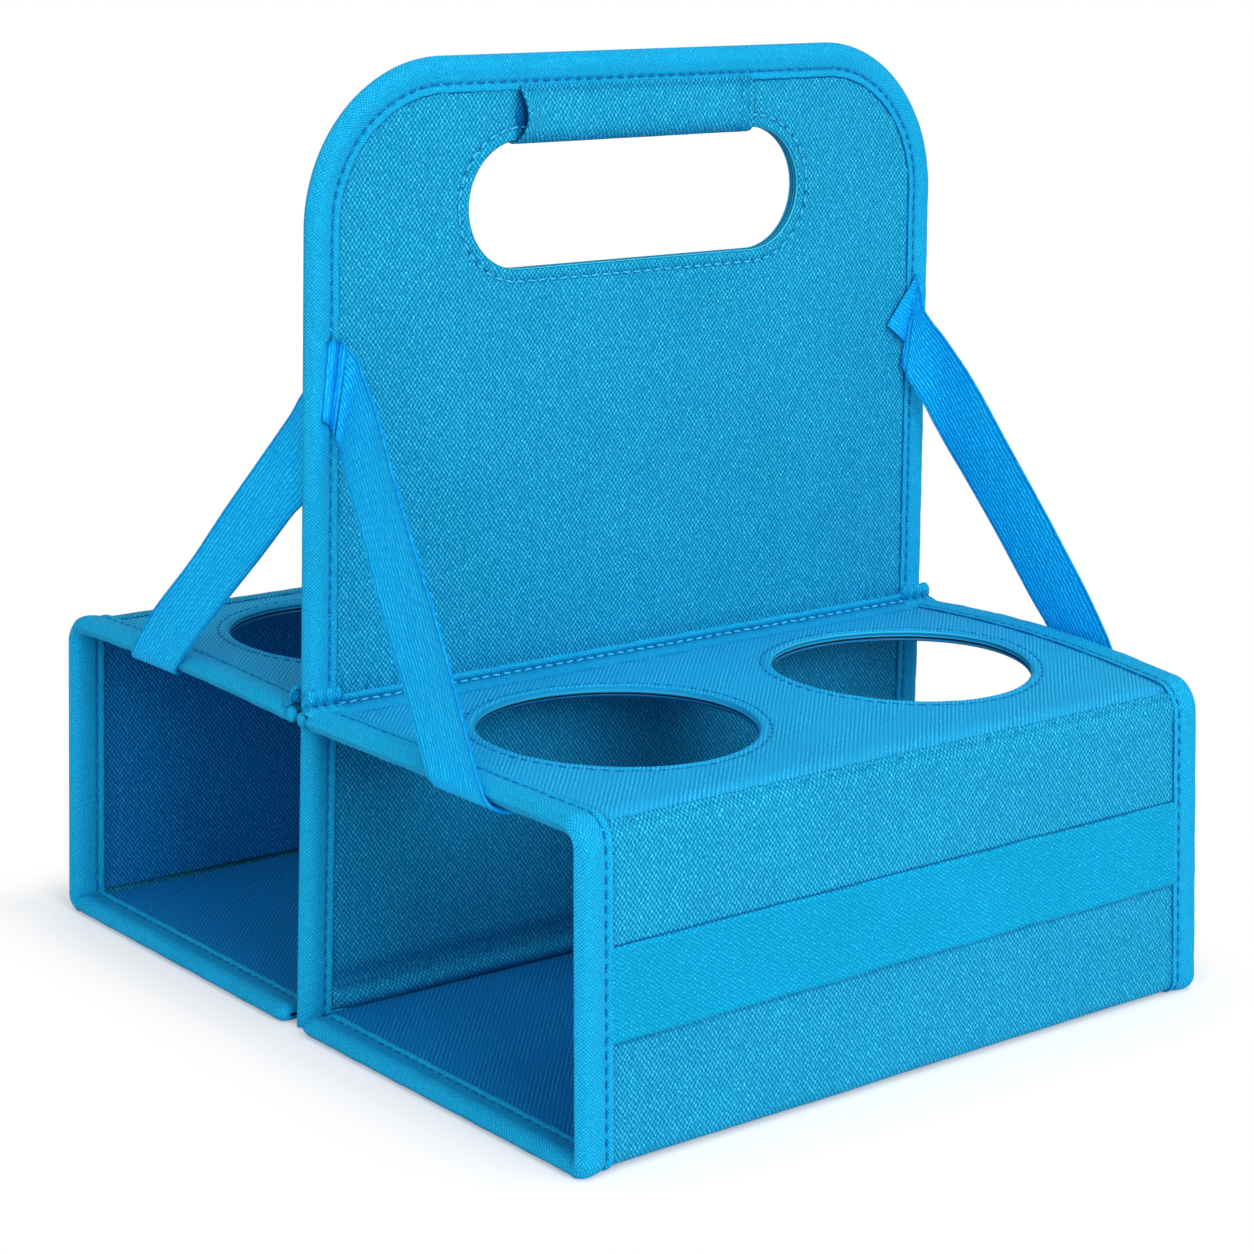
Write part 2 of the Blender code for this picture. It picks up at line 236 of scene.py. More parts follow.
# How far the sewn carrier has settled out of true: the handle panel's two edges at three heights,
# the corners of each box's side panel, and the bow of its top panel's ends
LEVELS = (0, 0.094, 0.2714)
HANDLE_DRIFT = {"front": (-0.0010, 0, 0.0002), "rear": (0.0043, 0.0022, -0.0051)}
BOX_DRIFT = {
    "right": {"rear top": (-0.0055, -0.0022, -0.0002), "front top": (0.0003, 0.0011, 0.0008),
              "rear low": (0.0011, -0.0005, 0), "front low": (0.0058, 0.0002, 0)},
    "left": {"rear top": (-0.0001, -0.0001, 0), "front top": (0.0002, 0.0005, 0.0002),
             "rear low": (0, -0.0001, 0), "front low": (-0.0002, -0.0004, 0)},
}
BOW = {"right": {"rear": 0.0034, "front": 0}, "left": {"rear": 0, "front": 0.0016}}


def settled(points, part):
    """Points of a true carrier, moved to where the sewn one has settled."""
    points = np.array(points, float)
    x, y, z = points[..., 0], points[..., 1], points[..., 2]
    rear = np.clip(y / (2 * HALF_DEPTH) + 0.5, 0, 1)
    ends = {"front": 1 - rear, "rear": rear}
    out = 0 * x if part == "handle" else np.clip(np.abs(x) / SPAN, 0, 1)
    shift = sum(share * np.interp(z, LEVELS, HANDLE_DRIFT[end]) for end, share in ends.items())
    drift = ((1 - out) * shift)[..., None] * np.array((0, 1, 0))
    if part != "handle":
        up = np.clip(z / LEVELS[1], 0, 1.1)
        levels = {"top": up, "low": 1 - up}
        for corner, move in BOX_DRIFT[part].items():
            end, level = corner.split()
            drift = drift + (ends[end] * levels[level] * out)[..., None] * np.array(move)
        bow = sum(share * BOW[part][end] for end, share in ends.items())
        bow = bow * np.sin(pi * out) * smooth(z, 0.078, 0.086)
        drift = drift + bow[..., None] * np.array((0, 0, 1))
    return points + drift * bpy.context.scene.carrier_shape.settle


def handle_place(points):
    return settled(points, "handle")


class Box:
    """One cup box: takes points of the right box to their place in the carrier."""

    def __init__(self, side):
        self.side = side
        self.turn = 1 if side == "right" else -1

    def place(self, points):
        return settled(np.array(points, float) * (self.turn, self.turn, 1), self.side)

    def name(self, part):
        """A body's, node's or piece's full name."""
        return f"{self.side}_{part}"

    def lap(self):
        """Where the side cloth's edge lies: in along the flat top, and round the upper corner."""
        return (0, radians(51)) if self.side == "right" else (0.0060, pi / 2)

    def seam(self, under):
        """The top cloth's edge, a little under the lap."""
        flat, angle = self.lap()
        return UPPER[0] - flat + (FOLD + SKIN) * cos(angle) + under

    def end(self, sign):
        return "front" if sign * self.turn < 0 else "rear"

    def dress(self, cloth, name, kind, nodes, panel=None, slot=None):
        """Make a piece of this box in place of some CAD nodes, and carry it on a panel."""
        nodes = [self.name(node) for node in nodes]
        return dress(cloth, self.name(name), kind, nodes, panel and self.name(panel), slot)

    def blend(self, piece, panel_a, panel_b, start, end):
        """Bake a piece's placing into its mesh."""
        first = self.place((start[0], 0, start[1])).tolist()
        last = self.place((end[0], 0, end[1])).tolist()
        name_a = panel_a if panel_a == "handle" else self.name(panel_a)
        self.name(panel_b)
        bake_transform(piece)


BOXES = (Box("right"), Box("left"))


def hole_ring(centre, reach, radius, count):
    """A slot with round ends as points, directions out of it and distances round it.

    A round hole is a slot with no reach. The last point is the first again.
    """
    side, bend = 2 * reach, pi * radius
    along = np.linspace(0, 2 * (side + bend), count + 1)
    turned = np.clip(along - side, 0, bend) + np.clip(along - 2 * side - bend, 0, bend)
    angle = pi / 2 + turned / radius
    outward = stack(np.cos(angle), np.sin(angle))
    middle = reach - np.clip(along, 0, side) + np.clip(along - side - bend, 0, side)
    return stack(middle, 0) + outward * radius + centre, outward, along


def reach_outline(centre, through, outline):
    """Where rays from a centre through some points cross an outline."""
    start = np.array(outline, float)
    edge = np.roll(start, -1, axis=0) - start
    ray = through - centre
    cross = ray[:, None, 0] * edge[None, :, 1] - ray[:, None, 1] * edge[None, :, 0]
    cross = np.where(np.abs(cross) < 1e-12, 1e-12, cross)
    to = start[None] - centre
    far = (to[..., 0] * edge[None, :, 1] - to[..., 1] * edge[None, :, 0]) / cross
    share = (to[..., 0] * ray[:, None, 1] - to[..., 1] * ray[:, None, 0]) / cross
    good = (far > 0) & (share >= -1e-6) & (share <= 1 + 1e-6)
    nearest = np.where(good, far, np.inf).min(axis=1)
    return centre + ray * nearest[:, None]


def holed_sheet(centre, reach, radius, outline, count, collar, coarse):
    """A flat cloth round a hole: a collar of even offsets, then rays out to the outline.

    Returns its points, how far each stands off the hole, and the distance round the hole.
    """
    ring, outward, along = hole_ring(centre, reach, radius, count)
    rings = [ring + outward * offset for offset in collar]
    last = rings[-1]
    target = reach_outline(np.array(centre), last, outline)
    for corner in outline if len(outline) == 4 else ():
        near = np.linalg.norm(target - np.array(corner), axis=1).argmin()
        target[near] = corner
        if near in (0, count):
            target[0] = target[count] = corner
    length = np.linalg.norm(target - last, axis=1).max()
    shares = np.linspace(0, 1, max(3, int(length / coarse)))[1:] ** 1.35
    rings += [last + (target - last) * share for share in shares]
    off = np.concatenate((collar, collar[-1] + shares * length))
    return (np.stack(rings), *np.broadcast_arrays(off[:, None], along))


def section_of(face, width, plump):
    """Outline of a binding tape folded over a bound edge: in from the edge, and off its middle.

    Returns the points, and for each the distance across the tape from its nose.
    """
    hem = [
        (width + 0.00035, 0.00004), (width + 0.00004, 0.00009), (width + 0.00002, 0.00036),
        (width - 0.0003, 0.00056), (width - 0.0010, 0.00062), (width - 0.0017, 0.00058),
        (width - TAPE_SEAM, 0.00040), (width - 0.0031, 0.00060),
        (width - 0.0045, 0.00066 + plump * 0.5), (width * 0.42, 0.00066 + plump),
        (0.0032, 0.00060 + plump), (0.0018, 0.00030 + plump * 0.7),
        (0.0008, -0.0005), (0.0002, -0.0013),
    ]
    half = [(u, face + v) for u, v in hem] + [(0, 0)]
    outline = half + [(u, -v) for u, v in reversed(half[:-1])]
    fine = curve_through(np.array(outline), 0.00042)
    across = run(fine)
    across -= across[-1] / 2
    channel = 0.0023
    inner = [(width - 0.0002, -face), (channel, -face), (channel, face), (width - 0.0002, face)]
    points = np.concatenate((fine, np.array(inner), fine[:1]))
    across = np.concatenate((across, np.full(4, across[-1]), across[:1]))
    return points, across


def curve_through(points, size):
    """A smooth curve through points, in steps of about one size."""
    ends = np.concatenate((2 * points[:1] - points[1:2], points, 2 * points[-1:] - points[-2:-1]))
    curve = [points[0]]
    for i in range(len(points) - 1):
        a, b, c, d = ends[i:i + 4]
        count = max(1, round(np.linalg.norm(c - b) / size))
        for t in np.linspace(0, 1, count + 1)[1:]:
            curve.append(0.5 * (2 * b + (c - a) * t + (2 * a - 5 * b + 4 * c - d) * t**2
                                + (3 * b - a - 3 * c + d) * t**3))
    return np.array(curve)


class Edge:
    """A bound edge as stations: points on it, directions into the panel and off its face."""

    def __init__(self):
        self.points, self.inward, self.facing = [], [], []

    def add(self, point, inward, facing):
        self.points.append(point)
        self.inward.append(inward)
        self.facing.append(facing)

    def close(self):
        self.points, self.inward, self.facing = (
            np.array(part, float) for part in (self.points, self.inward, self.facing))
        self.along = run(self.points)
        return self

    def corner(self, centre, radius, angles, y, inward):
        """Go round a corner in the XZ plane, always facing out of it."""
        for angle in angles:
            out = (cos(angle), 0, sin(angle))
            point = (centre[0] + radius * cos(angle), y, centre[1] + radius * sin(angle))
            self.add(point, inward, out)

    def offset(self, inward, facing):
        """A line that follows the edge at a distance into the panel and off its middle."""
        return self.points + self.inward * inward + self.facing * facing


def handle_edge(start=0.0004):
    """The handle panel's edge, up the front, over the top and down the rear."""
    edge = Edge()
    shoulder = HANDLE_TOP - HANDLE_RADIUS
    facing = (1, 0, 0)
    for z in steps(start, shoulder, STATION):
        edge.add((0, -HANDLE_HALF, z), (0, 1, 0), facing)
    for sign in (-1, 1):
        middle = sign * (HANDLE_HALF - HANDLE_RADIUS)
        first, last = (pi, pi / 2) if sign < 0 else (pi / 2, 0)
        for angle in np.linspace(first, last, 90)[1:]:
            out = np.array((0, cos(angle), sin(angle)))
            edge.add(np.array((0, middle, shoulder)) + out * HANDLE_RADIUS, -out, facing)
        if sign < 0:
            for y in steps(middle, -middle, STATION)[1:]:
                edge.add((0, y, HANDLE_TOP), (0, 0, -1), facing)
    for z in steps(shoulder, start, STATION)[1:]:
        edge.add((0, HANDLE_HALF, z), (0, -1, 0), facing)
    return edge.close()


def wall_edge(sign):
    """A box's edge at one end: along the top panel, down the side panel and round its foot."""
    edge = Edge()
    y = sign * HALF_DEPTH
    inward = (0, -sign, 0)
    for x in steps(PANEL_START - 0.0002, UPPER[0], STATION):
        edge.add((x, y, TOP_MID), inward, (0, 0, 1))
    edge.corner(UPPER, FOLD, np.linspace(pi / 2, 0, 14)[1:], y, inward)
    for z in steps(UPPER[1], LOWER[1], STATION)[1:]:
        edge.add((SIDE_MID, y, z), inward, (1, 0, 0))
    radius = LOWER[1] - BASE_MID
    edge.corner(LOWER, radius, np.linspace(0, -pi / 2, 10)[1:], y, inward)
    return edge.close()


def base_edge(sign):
    """A base panel's edge at one end, from the outer corner to the hinge."""
    edge = Edge()
    for x in steps(LOWER[0] - 0.0002, PANEL_START + 0.0006, STATION):
        edge.add((x, sign * HALF_DEPTH, BASE_MID), (0, -sign, 0), (0, 0, -1))
    return edge.close()


def bind(cloth, edge, face, width, plump, sewing, place, round_ends=(), hollow_shade=0.0):
    """Fold a binding tape over an edge, with its hems, its sewn groove and its small puckers, and
    painted shade along its hem and across its middle.
    """
    section, across = section_of(face, width, plump)
    along = edge.along[:, None]
    u = np.broadcast_to(section[:, 0], (len(edge.along), len(section))).copy()
    v = np.broadcast_to(section[:, 1], u.shape).copy()
    outer = np.abs(v) > face + 0.00001
    dent, shade = sewn(along, u - (width - TAPE_SEAM), sewing)
    v += np.sign(v) * np.where(outer, dent, 0)
    pucker = waver(along, 0.0078) * smooth(u, width * 0.55, width) * 0.00016
    u += np.where(outer, pucker, 0)
    v += np.sign(v) * np.where(outer, waver(along, 0.019, 2.0) * 0.00012, 0)
    for end in round_ends:
        distance = along if end == "first" else edge.along[-1] - along
        share = np.sqrt(1 - (1 - np.clip(distance / 0.0032, 0.04, 1)) ** 2)
        middle = width * 0.45
        u = middle + (u - middle) * (0.4 + 0.6 * share)
        v = v * share
    points = place(edge.points[:, None] + edge.inward[:, None] * u[..., None]
                   + edge.facing[:, None] * v[..., None])
    points[..., 2] = np.maximum(points[..., 2], 0.00005)
    # Painted shadow along the hem's edge, and painted shade across the tape between its nose and
    # its stitches
    hem = smooth(u, width - 0.00025, width + 0.00005) * (np.abs(v) < face + 0.0005)
    hollow_shade_mask = smooth(u, 0.0030, 0.0055) * (1 - smooth(u, width - 0.0032, width - TAPE_SEAM))
    shade = np.maximum(np.where(outer, shade, 0), hem) + hollow_shade * hollow_shade_mask * outer
    cloth.grid(points, stack(along, across[None]), shade)


# ---------------------------------------------------------------- materials


class Nodes:
    """Short ways to add nodes to a shader or geometry tree."""

    def __init__(self, tree):
        self.tree = tree

    def add(self, kind, inputs=None, **settings):
        node = self.tree.nodes.new(kind)
        for name, value in settings.items():
            setattr(node, name, value)
        for name, value in (inputs or {}).items():
            self.plug(node.inputs[name], value)
        return node

    def plug(self, socket, value):
        if isinstance(value, bpy.types.NodeSocket):
            self.tree.links.new(value, socket)
        else:
            socket.default_value = value

    def math(self, operation, *values, clamp=False):
        node = self.add("ShaderNodeMath", operation=operation, use_clamp=clamp)
        for socket, value in zip(node.inputs, values):
            self.plug(socket, value)
        return node.outputs[0]

    def mix(self, share, first, second, **settings):
        node = self.add("ShaderNodeMix", data_type="RGBA", **settings)
        self.plug(node.inputs["Factor"], share)
        self.plug(node.inputs[6], first)
        self.plug(node.inputs[7], second)
        return node.outputs[2]


VECTOR, NUMBER, COLOUR = "NodeSocketVector", "NodeSocketFloat", "NodeSocketColor"
WHITE = (1, 1, 1, 1)
CLOTH_TINT = (0.2, 0.65, 1, 1)   # of a cloth's highlights


def shader_group(name, inputs, outputs):
    """An empty shader group: inputs are name, socket kind and default; outputs name and kind."""
    tree = bpy.data.node_groups.new(name, "ShaderNodeTree")
    for label, kind, default in inputs:
        socket = tree.interface.new_socket(label, in_out="INPUT", socket_type=kind)
        if default is not None:
            socket.default_value = default
    for label, kind in outputs:
        tree.interface.new_socket(label, in_out="OUTPUT", socket_type=kind)
    nodes = Nodes(tree)
    entry = nodes.add("NodeGroupInput").outputs
    leave = nodes.add("NodeGroupOutput").inputs
    return nodes, entry, leave


def weave_group(name, numbers):
    """An empty weave group, and its cloth coordinates in mm, a little out of true."""
    inputs = [("Cloth", VECTOR, None), ("Waviness", NUMBER, 0.5)]
    inputs += [(label, NUMBER, value) for label, value in numbers.items()]
    outputs = [(label, NUMBER) for label in ("Height", "Thread", "Chance")]
    nodes, entry, leave = shader_group(name, inputs, outputs)

    def vector(operation, inputs):
        return nodes.add("ShaderNodeVectorMath", inputs, operation=operation).outputs[0]

    scaled = vector("SCALE", {0: entry["Cloth"], "Scale": 1000.0})
    noise = nodes.add("ShaderNodeTexNoise", {"Vector": scaled, "Scale": 0.42, "Detail": 3.0,
                                             "Roughness": 0.65})
    shift = vector("SUBTRACT", {0: noise.outputs["Color"], 1: (0.5, 0.5, 0.5)})
    shift = vector("SCALE", {0: shift, "Scale": entry["Waviness"]})
    moved = vector("ADD", {0: scaled, 1: shift})
    parts = nodes.add("ShaderNodeSeparateXYZ", {0: moved}).outputs
    return nodes, entry, leave, parts[0], parts[1]


def crossings(nodes, a, b):
    """Where threads one unit apart cross, over at 1 and under at -1."""
    return nodes.math("MULTIPLY", nodes.math("SINE", nodes.math("MULTIPLY", a, pi)),
                      nodes.math("SINE", nodes.math("MULTIPLY", b, pi)))


def close_weave(nodes, leave, height, thread, cell):
    """Send out a weave's height and thread, and a chance for each of its cells."""
    cell = nodes.add("ShaderNodeCombineXYZ", dict(enumerate(cell)))
    chance = nodes.add("ShaderNodeTexWhiteNoise", {"Vector": cell.outputs[0]},
                       noise_dimensions="2D").outputs["Value"]
    for label, value in (("Height", height), ("Thread", thread), ("Chance", chance)):
        nodes.plug(leave[label], value)
    return nodes.tree


def plain_weave():
    """Over and under threads: raised crossings in a staggered pattern."""
    nodes, entry, leave, u, v = weave_group(
        "Plain weave", {"Warp pitch": 0.72, "Weft pitch": 0.9, "Square": 0.0})
    a = nodes.math("DIVIDE", u, entry["Warp pitch"])
    b = nodes.math("DIVIDE", v, entry["Weft pitch"])
    crossing = crossings(nodes, a, b)
    staggered = nodes.math("MULTIPLY_ADD", crossing, 0.5, 0.5)
    square = nodes.math("ABSOLUTE", crossing)
    height = nodes.add("ShaderNodeMix", {0: entry["Square"], 2: staggered, 3: square}).outputs[0]
    thread = nodes.math("SMOOTH_MIN", height, 1.0, 0.05)
    cell = nodes.math("FLOOR", a), nodes.math("FLOOR", b)
    return close_weave(nodes, leave, height, thread, cell)


def twill_weave():
    """Fine slanting ribs, with the crossings of a plain weave under them."""
    nodes, entry, leave, u, v = weave_group(
        "Twill weave", {"Lines across": 0.6, "Lines along": 0.6, "Thread pitch": 0.75})
    slant = nodes.math("ADD", nodes.math("MULTIPLY", u, entry["Lines across"]),
                       nodes.math("MULTIPLY", v, entry["Lines along"]))
    ribs = nodes.math("SINE", nodes.math("MULTIPLY", slant, 2 * pi))
    a = nodes.math("DIVIDE", u, entry["Thread pitch"])
    b = nodes.math("DIVIDE", v, entry["Thread pitch"])
    both = nodes.math("ADD", nodes.math("MULTIPLY", ribs, 0.26),
                      nodes.math("MULTIPLY", crossings(nodes, a, b), 0.24))
    height = nodes.math("ADD", both, 0.5)
    cell = nodes.math("FLOOR", a), nodes.math("FLOOR", b)
    return close_weave(nodes, leave, height, height, cell)


def ribbed_knit():
    """Knitted ribs that run along the cloth, each a chain of slanting loops."""
    nodes, entry, leave, u, v = weave_group("Ribbed knit", {"Rib pitch": 1.2, "Loop pitch": 1.7})
    a = nodes.math("DIVIDE", u, entry["Loop pitch"])
    loops = nodes.math("SINE", nodes.math("MULTIPLY", a, 2 * pi))
    b = nodes.math("ADD", nodes.math("DIVIDE", v, entry["Rib pitch"]),
                   nodes.math("MULTIPLY", loops, 0.035))
    ribs = nodes.math("COSINE", nodes.math("MULTIPLY", b, 2 * pi))
    row = nodes.math("ROUND", b)
    place = nodes.math("ADD", a, nodes.math("MULTIPLY", row, 0.37))
    links = nodes.math("COSINE", nodes.math("MULTIPLY", place, 2 * pi))
    height = nodes.math("ADD", nodes.math("MULTIPLY", ribs, 0.4),
                        nodes.math("MULTIPLY_ADD", links, 0.1, 0.5))
    return close_weave(nodes, leave, height, height, (nodes.math("FLOOR", place), row))


def dyed_thread():
    """Colour of a dyed weave: painted shade in the gaps, threads, painted highlights on the
    crossings, blotches, and painted shade where the mesh marks it.
    """
    nodes, entry, leave = shader_group(
        "Dyed thread",
        [("Thread", NUMBER, 0.5), ("Chance", NUMBER, 0.5), ("Crease", NUMBER, 0.0),
         ("Place", VECTOR, None), ("Gap", COLOUR, (0, 0.17, 0.44, 1)),
         ("Colour", COLOUR, (0.01, 0.32, 0.66, 1)), ("Crossing", COLOUR, (0.06, 0.56, 0.97, 1)),
         ("Contrast", NUMBER, 1.0)],
        [("Color", COLOUR), ("Roughness", NUMBER)],
    )
    # Painted shade in the weave's gaps and painted highlight on its crossings
    swing = nodes.math("MULTIPLY", nodes.math("SUBTRACT", entry["Thread"], 0.5), entry["Contrast"])
    low = nodes.math("MULTIPLY", swing, -2.0, clamp=True)
    uneven = nodes.math("MULTIPLY_ADD", entry["Chance"], 1.3, 0.4)
    high = nodes.math("MULTIPLY", nodes.math("MULTIPLY", swing, 2.0), uneven, clamp=True)
    shade = nodes.mix(low, entry["Colour"], entry["Gap"])
    shade = nodes.mix(high, shade, entry["Crossing"])
    blotch = nodes.add("ShaderNodeTexNoise", {"Vector": entry["Place"], "Scale": 26.0,
                                              "Detail": 4.0, "Roughness": 0.6})
    spread = nodes.math("MULTIPLY_ADD", blotch.outputs["Fac"], 0.26, 0.87)
    spread = nodes.add("ShaderNodeCombineColor", {0: spread, 1: spread, 2: spread}).outputs[0]
    shade = nodes.mix(1.0, shade, spread, blend_type="MULTIPLY")
    # The painted shade's deep blue tone, mixed in as far as the mesh marks it
    dark = nodes.mix(1.0, shade, (0.03, 0.20, 0.42, 1), blend_type="MULTIPLY")
    crease = nodes.math("MULTIPLY", entry["Crease"], 0.85, clamp=True)
    nodes.plug(leave["Color"], nodes.mix(crease, shade, dark))
    rough = nodes.math("MULTIPLY_ADD", entry["Thread"], -0.12, 0.86)
    nodes.plug(leave["Roughness"], nodes.math("ADD", rough, nodes.math("MULTIPLY", crease, 0.1)))
    return nodes.tree


def linear(colour):
    """A display colour as the light values that a shader takes."""
    return tuple(c / 12.92 if c <= 0.04045 else ((c + 0.055) / 1.055) ** 2.4
                 for c in colour) + (1,)


def new_material(name, specular, tint=WHITE):
    """A new material of this part: its nodes, and its shader's inputs."""
    made = bpy.data.materials.new("carrier_" + name)
    made.use_nodes = True
    shader = made.node_tree.nodes["Principled BSDF"].inputs
    shader["Specular IOR Level"].default_value = specular
    shader["Specular Tint"].default_value = tint
    return Nodes(made.node_tree), shader


def dye(nodes, shader, colour, roughness, height, relief):
    """Send a pattern's colour, roughness and relief to a shader's inputs."""
    bump = nodes.add("ShaderNodeBump", {"Height": height, "Distance": relief})
    for label, value in (("Base Color", colour), ("Roughness", roughness),
                         ("Normal", bump.outputs[0])):
        nodes.plug(shader[label], value)


def cloth_material(name, weave, values, colours, contrast, relief):
    """A dyed cloth: a weave group for its pattern, a thread group for its colour, and relief."""
    nodes, shader = new_material(name, 0.16, CLOTH_TINT)
    pattern = nodes.add("ShaderNodeGroup", node_tree=weave)
    nodes.plug(pattern.inputs["Cloth"], nodes.add("ShaderNodeUVMap", uv_map="cloth").outputs[0])
    for label, value in values.items():
        pattern.inputs[label].default_value = value
    thread = nodes.add("ShaderNodeGroup", node_tree=bpy.data.node_groups["Dyed thread"])
    crease = nodes.add("ShaderNodeAttribute", attribute_name="crease").outputs["Fac"]
    values = {"Thread": pattern.outputs["Thread"], "Chance": pattern.outputs["Chance"],
              "Crease": crease, "Place": nodes.add("ShaderNodeTexCoord").outputs["Object"],
              "Contrast": contrast}
    values.update(zip(("Gap", "Colour", "Crossing"), (linear(colour) for colour in colours)))
    for label, value in values.items():
        nodes.plug(thread.inputs[label], value)
    dye(nodes, shader, thread.outputs["Color"], thread.outputs["Roughness"],
        pattern.outputs["Height"], relief)
    shader["Sheen Weight"].default_value = 0.05
    shader["Sheen Roughness"].default_value = 0.4
    shader["Sheen Tint"].default_value = (0.1, 0.6, 1, 1)


def shades(colour, swing):
    """Gap, thread and crossing colours round one display colour: painted shade for the gaps and
    painted highlight for the crossings.
    """
    gap = tuple(max(c - d * swing, 0.0) for c, d in zip(colour, (0.12, 0.13, 0.09)))
    crossing = tuple(min(c + d * swing, 1.0) for c, d in zip(colour, (0.14, 0.16, 0.12)))
    return gap, tuple(colour), crossing


def core_material():
    """Pressed black board, with a grain along its cut edge."""
    nodes, shader = new_material("core_board", 0.2)
    place = nodes.add("ShaderNodeTexCoord").outputs["Object"]
    stretched = nodes.add("ShaderNodeMapping", {"Vector": place, "Scale": (1, 1, 6)}).outputs[0]
    grain = nodes.add("ShaderNodeTexNoise", {"Vector": stretched, "Scale": 700.0, "Detail": 3.0})
    grain = grain.outputs["Fac"]
    tone = nodes.mix(grain, (0.002, 0.003, 0.004, 1), (0.013, 0.016, 0.020, 1))
    dye(nodes, shader, tone, nodes.math("MULTIPLY_ADD", grain, 0.2, 0.7), grain, 0.0001)


def thread_material(name, colour):
    """Twisted sewing thread, with painted shade and painted highlight in turn along its twist."""
    nodes, shader = new_material(name, 0.1, CLOTH_TINT)
    place = nodes.add("ShaderNodeTexCoord").outputs["Object"]
    parts = nodes.add("ShaderNodeSeparateXYZ", {0: place}).outputs
    total = nodes.math("ADD", nodes.math("ADD", parts[0], parts[1]), parts[2])
    twist = nodes.math("SINE", nodes.math("MULTIPLY", total, 2 * pi / 0.0006))
    share = nodes.math("MULTIPLY_ADD", twist, 0.5, 0.5)
    gap, _, crossing = (linear(shade) for shade in shades(colour, 0.8))
    dye(nodes, shader, nodes.mix(share, gap, crossing),
        nodes.math("MULTIPLY_ADD", share, -0.15, 0.8), share, 0.0001)


def material(name):
    return bpy.data.materials["carrier_" + name]


# ---------------------------------------------------------------- settings


def length(name, description, default, **limits):
    return FloatProperty(name=name, description=description, default=default,
                         subtype="DISTANCE", unit="LENGTH", **limits)


def colour(name, description, default):
    return FloatVectorProperty(name=name, description=description, default=default, size=3,
                               subtype="COLOR_GAMMA", min=0, max=1)


def power(name, description, default):
    return FloatProperty(name=name, description=description, default=default, min=0,
                         subtype="POWER", unit="POWER")


def factor(name, description, default):
    return FloatProperty(name=name, description=description, default=default, min=0, max=1,
                         subtype="FACTOR")


class ShapeSettings(bpy.types.PropertyGroup):
    """Sizes of the carrier's openings and sewn-on pieces."""

    cup_hole: length("Cup hole", "Diameter of a cup hole", 0.080, min=0.05, max=0.1)
    cup_pitch: length("Cup pitch", "Between the cup holes of a box", 0.109)
    cup_x: length("Cup hole from middle", "Middle of the carrier to a cup hole", 0.062)
    hand_width: length("Hand hole width", "Length of the hand hole", 0.1244)
    hand_height: length("Hand hole height", "Height of the hand hole", 0.0368)
    hand_y: length("Hand hole offset", "Hand hole's centre behind the middle", -0.0012)
    hand_z: length("Hand hole centre", "Floor to the hand hole's centre", 0.2296)
    tape_width: length("Box tape", "Bound edge of a box to the tape's hem", 0.0113)
    handle_tape_width: length("Handle tape", "Handle's edge to the tape's hem", 0.0099)
    wrap_length: length("Grip wrap", "Length of the cloth round the grip bar", 0.087)
    wrap_y: length("Grip wrap offset", "Grip wrap's centre behind the middle", -0.0032)
    settle: factor("Settle", "How far the carrier has settled out of true", 1)


class SewingSettings(bpy.types.PropertyGroup):
    """The sewn lines."""

    pitch: length("Pitch", "From one stitch to the next", 0.0038, min=0.001)
    length: length("Stitch length", "Length of a stitch that shows", 0.0025)
    width: length("Thread width", "Width of the thread", 0.0006)
    depth: length("Depth", "How deep a sewn line pulls into the cloth", 0.0005)


class ColourSettings(bpy.types.PropertyGroup):
    """Display colours of the cloths."""

    oxford: colour("Oxford cloth", "Handle, sides and linings", (0.07, 0.60, 0.785))
    # Darker than the oxford cloth: painted shade inside the boxes, on the insides of the top and
    # side panels and on the base's inner twill
    lining: colour("Lining", "Insides of the boxes", (0.03, 0.45, 0.71))
    ribbed: colour("Ribbed cloth", "Tops of the boxes", (0.11, 0.625, 0.83))
    tape: colour("Binding tape", "Bound edges", (0.065, 0.635, 0.84))
    webbing: colour("Webbing", "Bands on the side panels", (0.02, 0.615, 0.80))
    elastic: colour("Elastic", "Straps", (0.04, 0.705, 1.0))
    # Darker than the tape: painted shade of the stitches sunk in their groove
    thread: colour("Thread", "Stitches sunk in the bindings", (0.02, 0.44, 0.70))
    welt_thread: colour("Welt thread", "Stitches along the hinge cloths", (0.22, 0.74, 0.93))


class StudioSettings(bpy.types.PropertyGroup):
    """Light and floor."""

    sky: FloatProperty(name="Sky", description="Strength of the even light from all round",
                       default=0.66, min=0)
    key: power("Key lamp", "Power of the large lamp at the right", 24.0)
    fill: power("Front lamp", "Power of the lamp in front", 10.0)
    top: power("Top lamp", "Power of the lamp overhead", 7.0)
    floor: factor("Floor", "How pale the floor is", 0.8)
    lift: factor("Floor lift", "Light that the camera adds to the floor", 0.26)


# ---------------------------------------------------------------- pieces


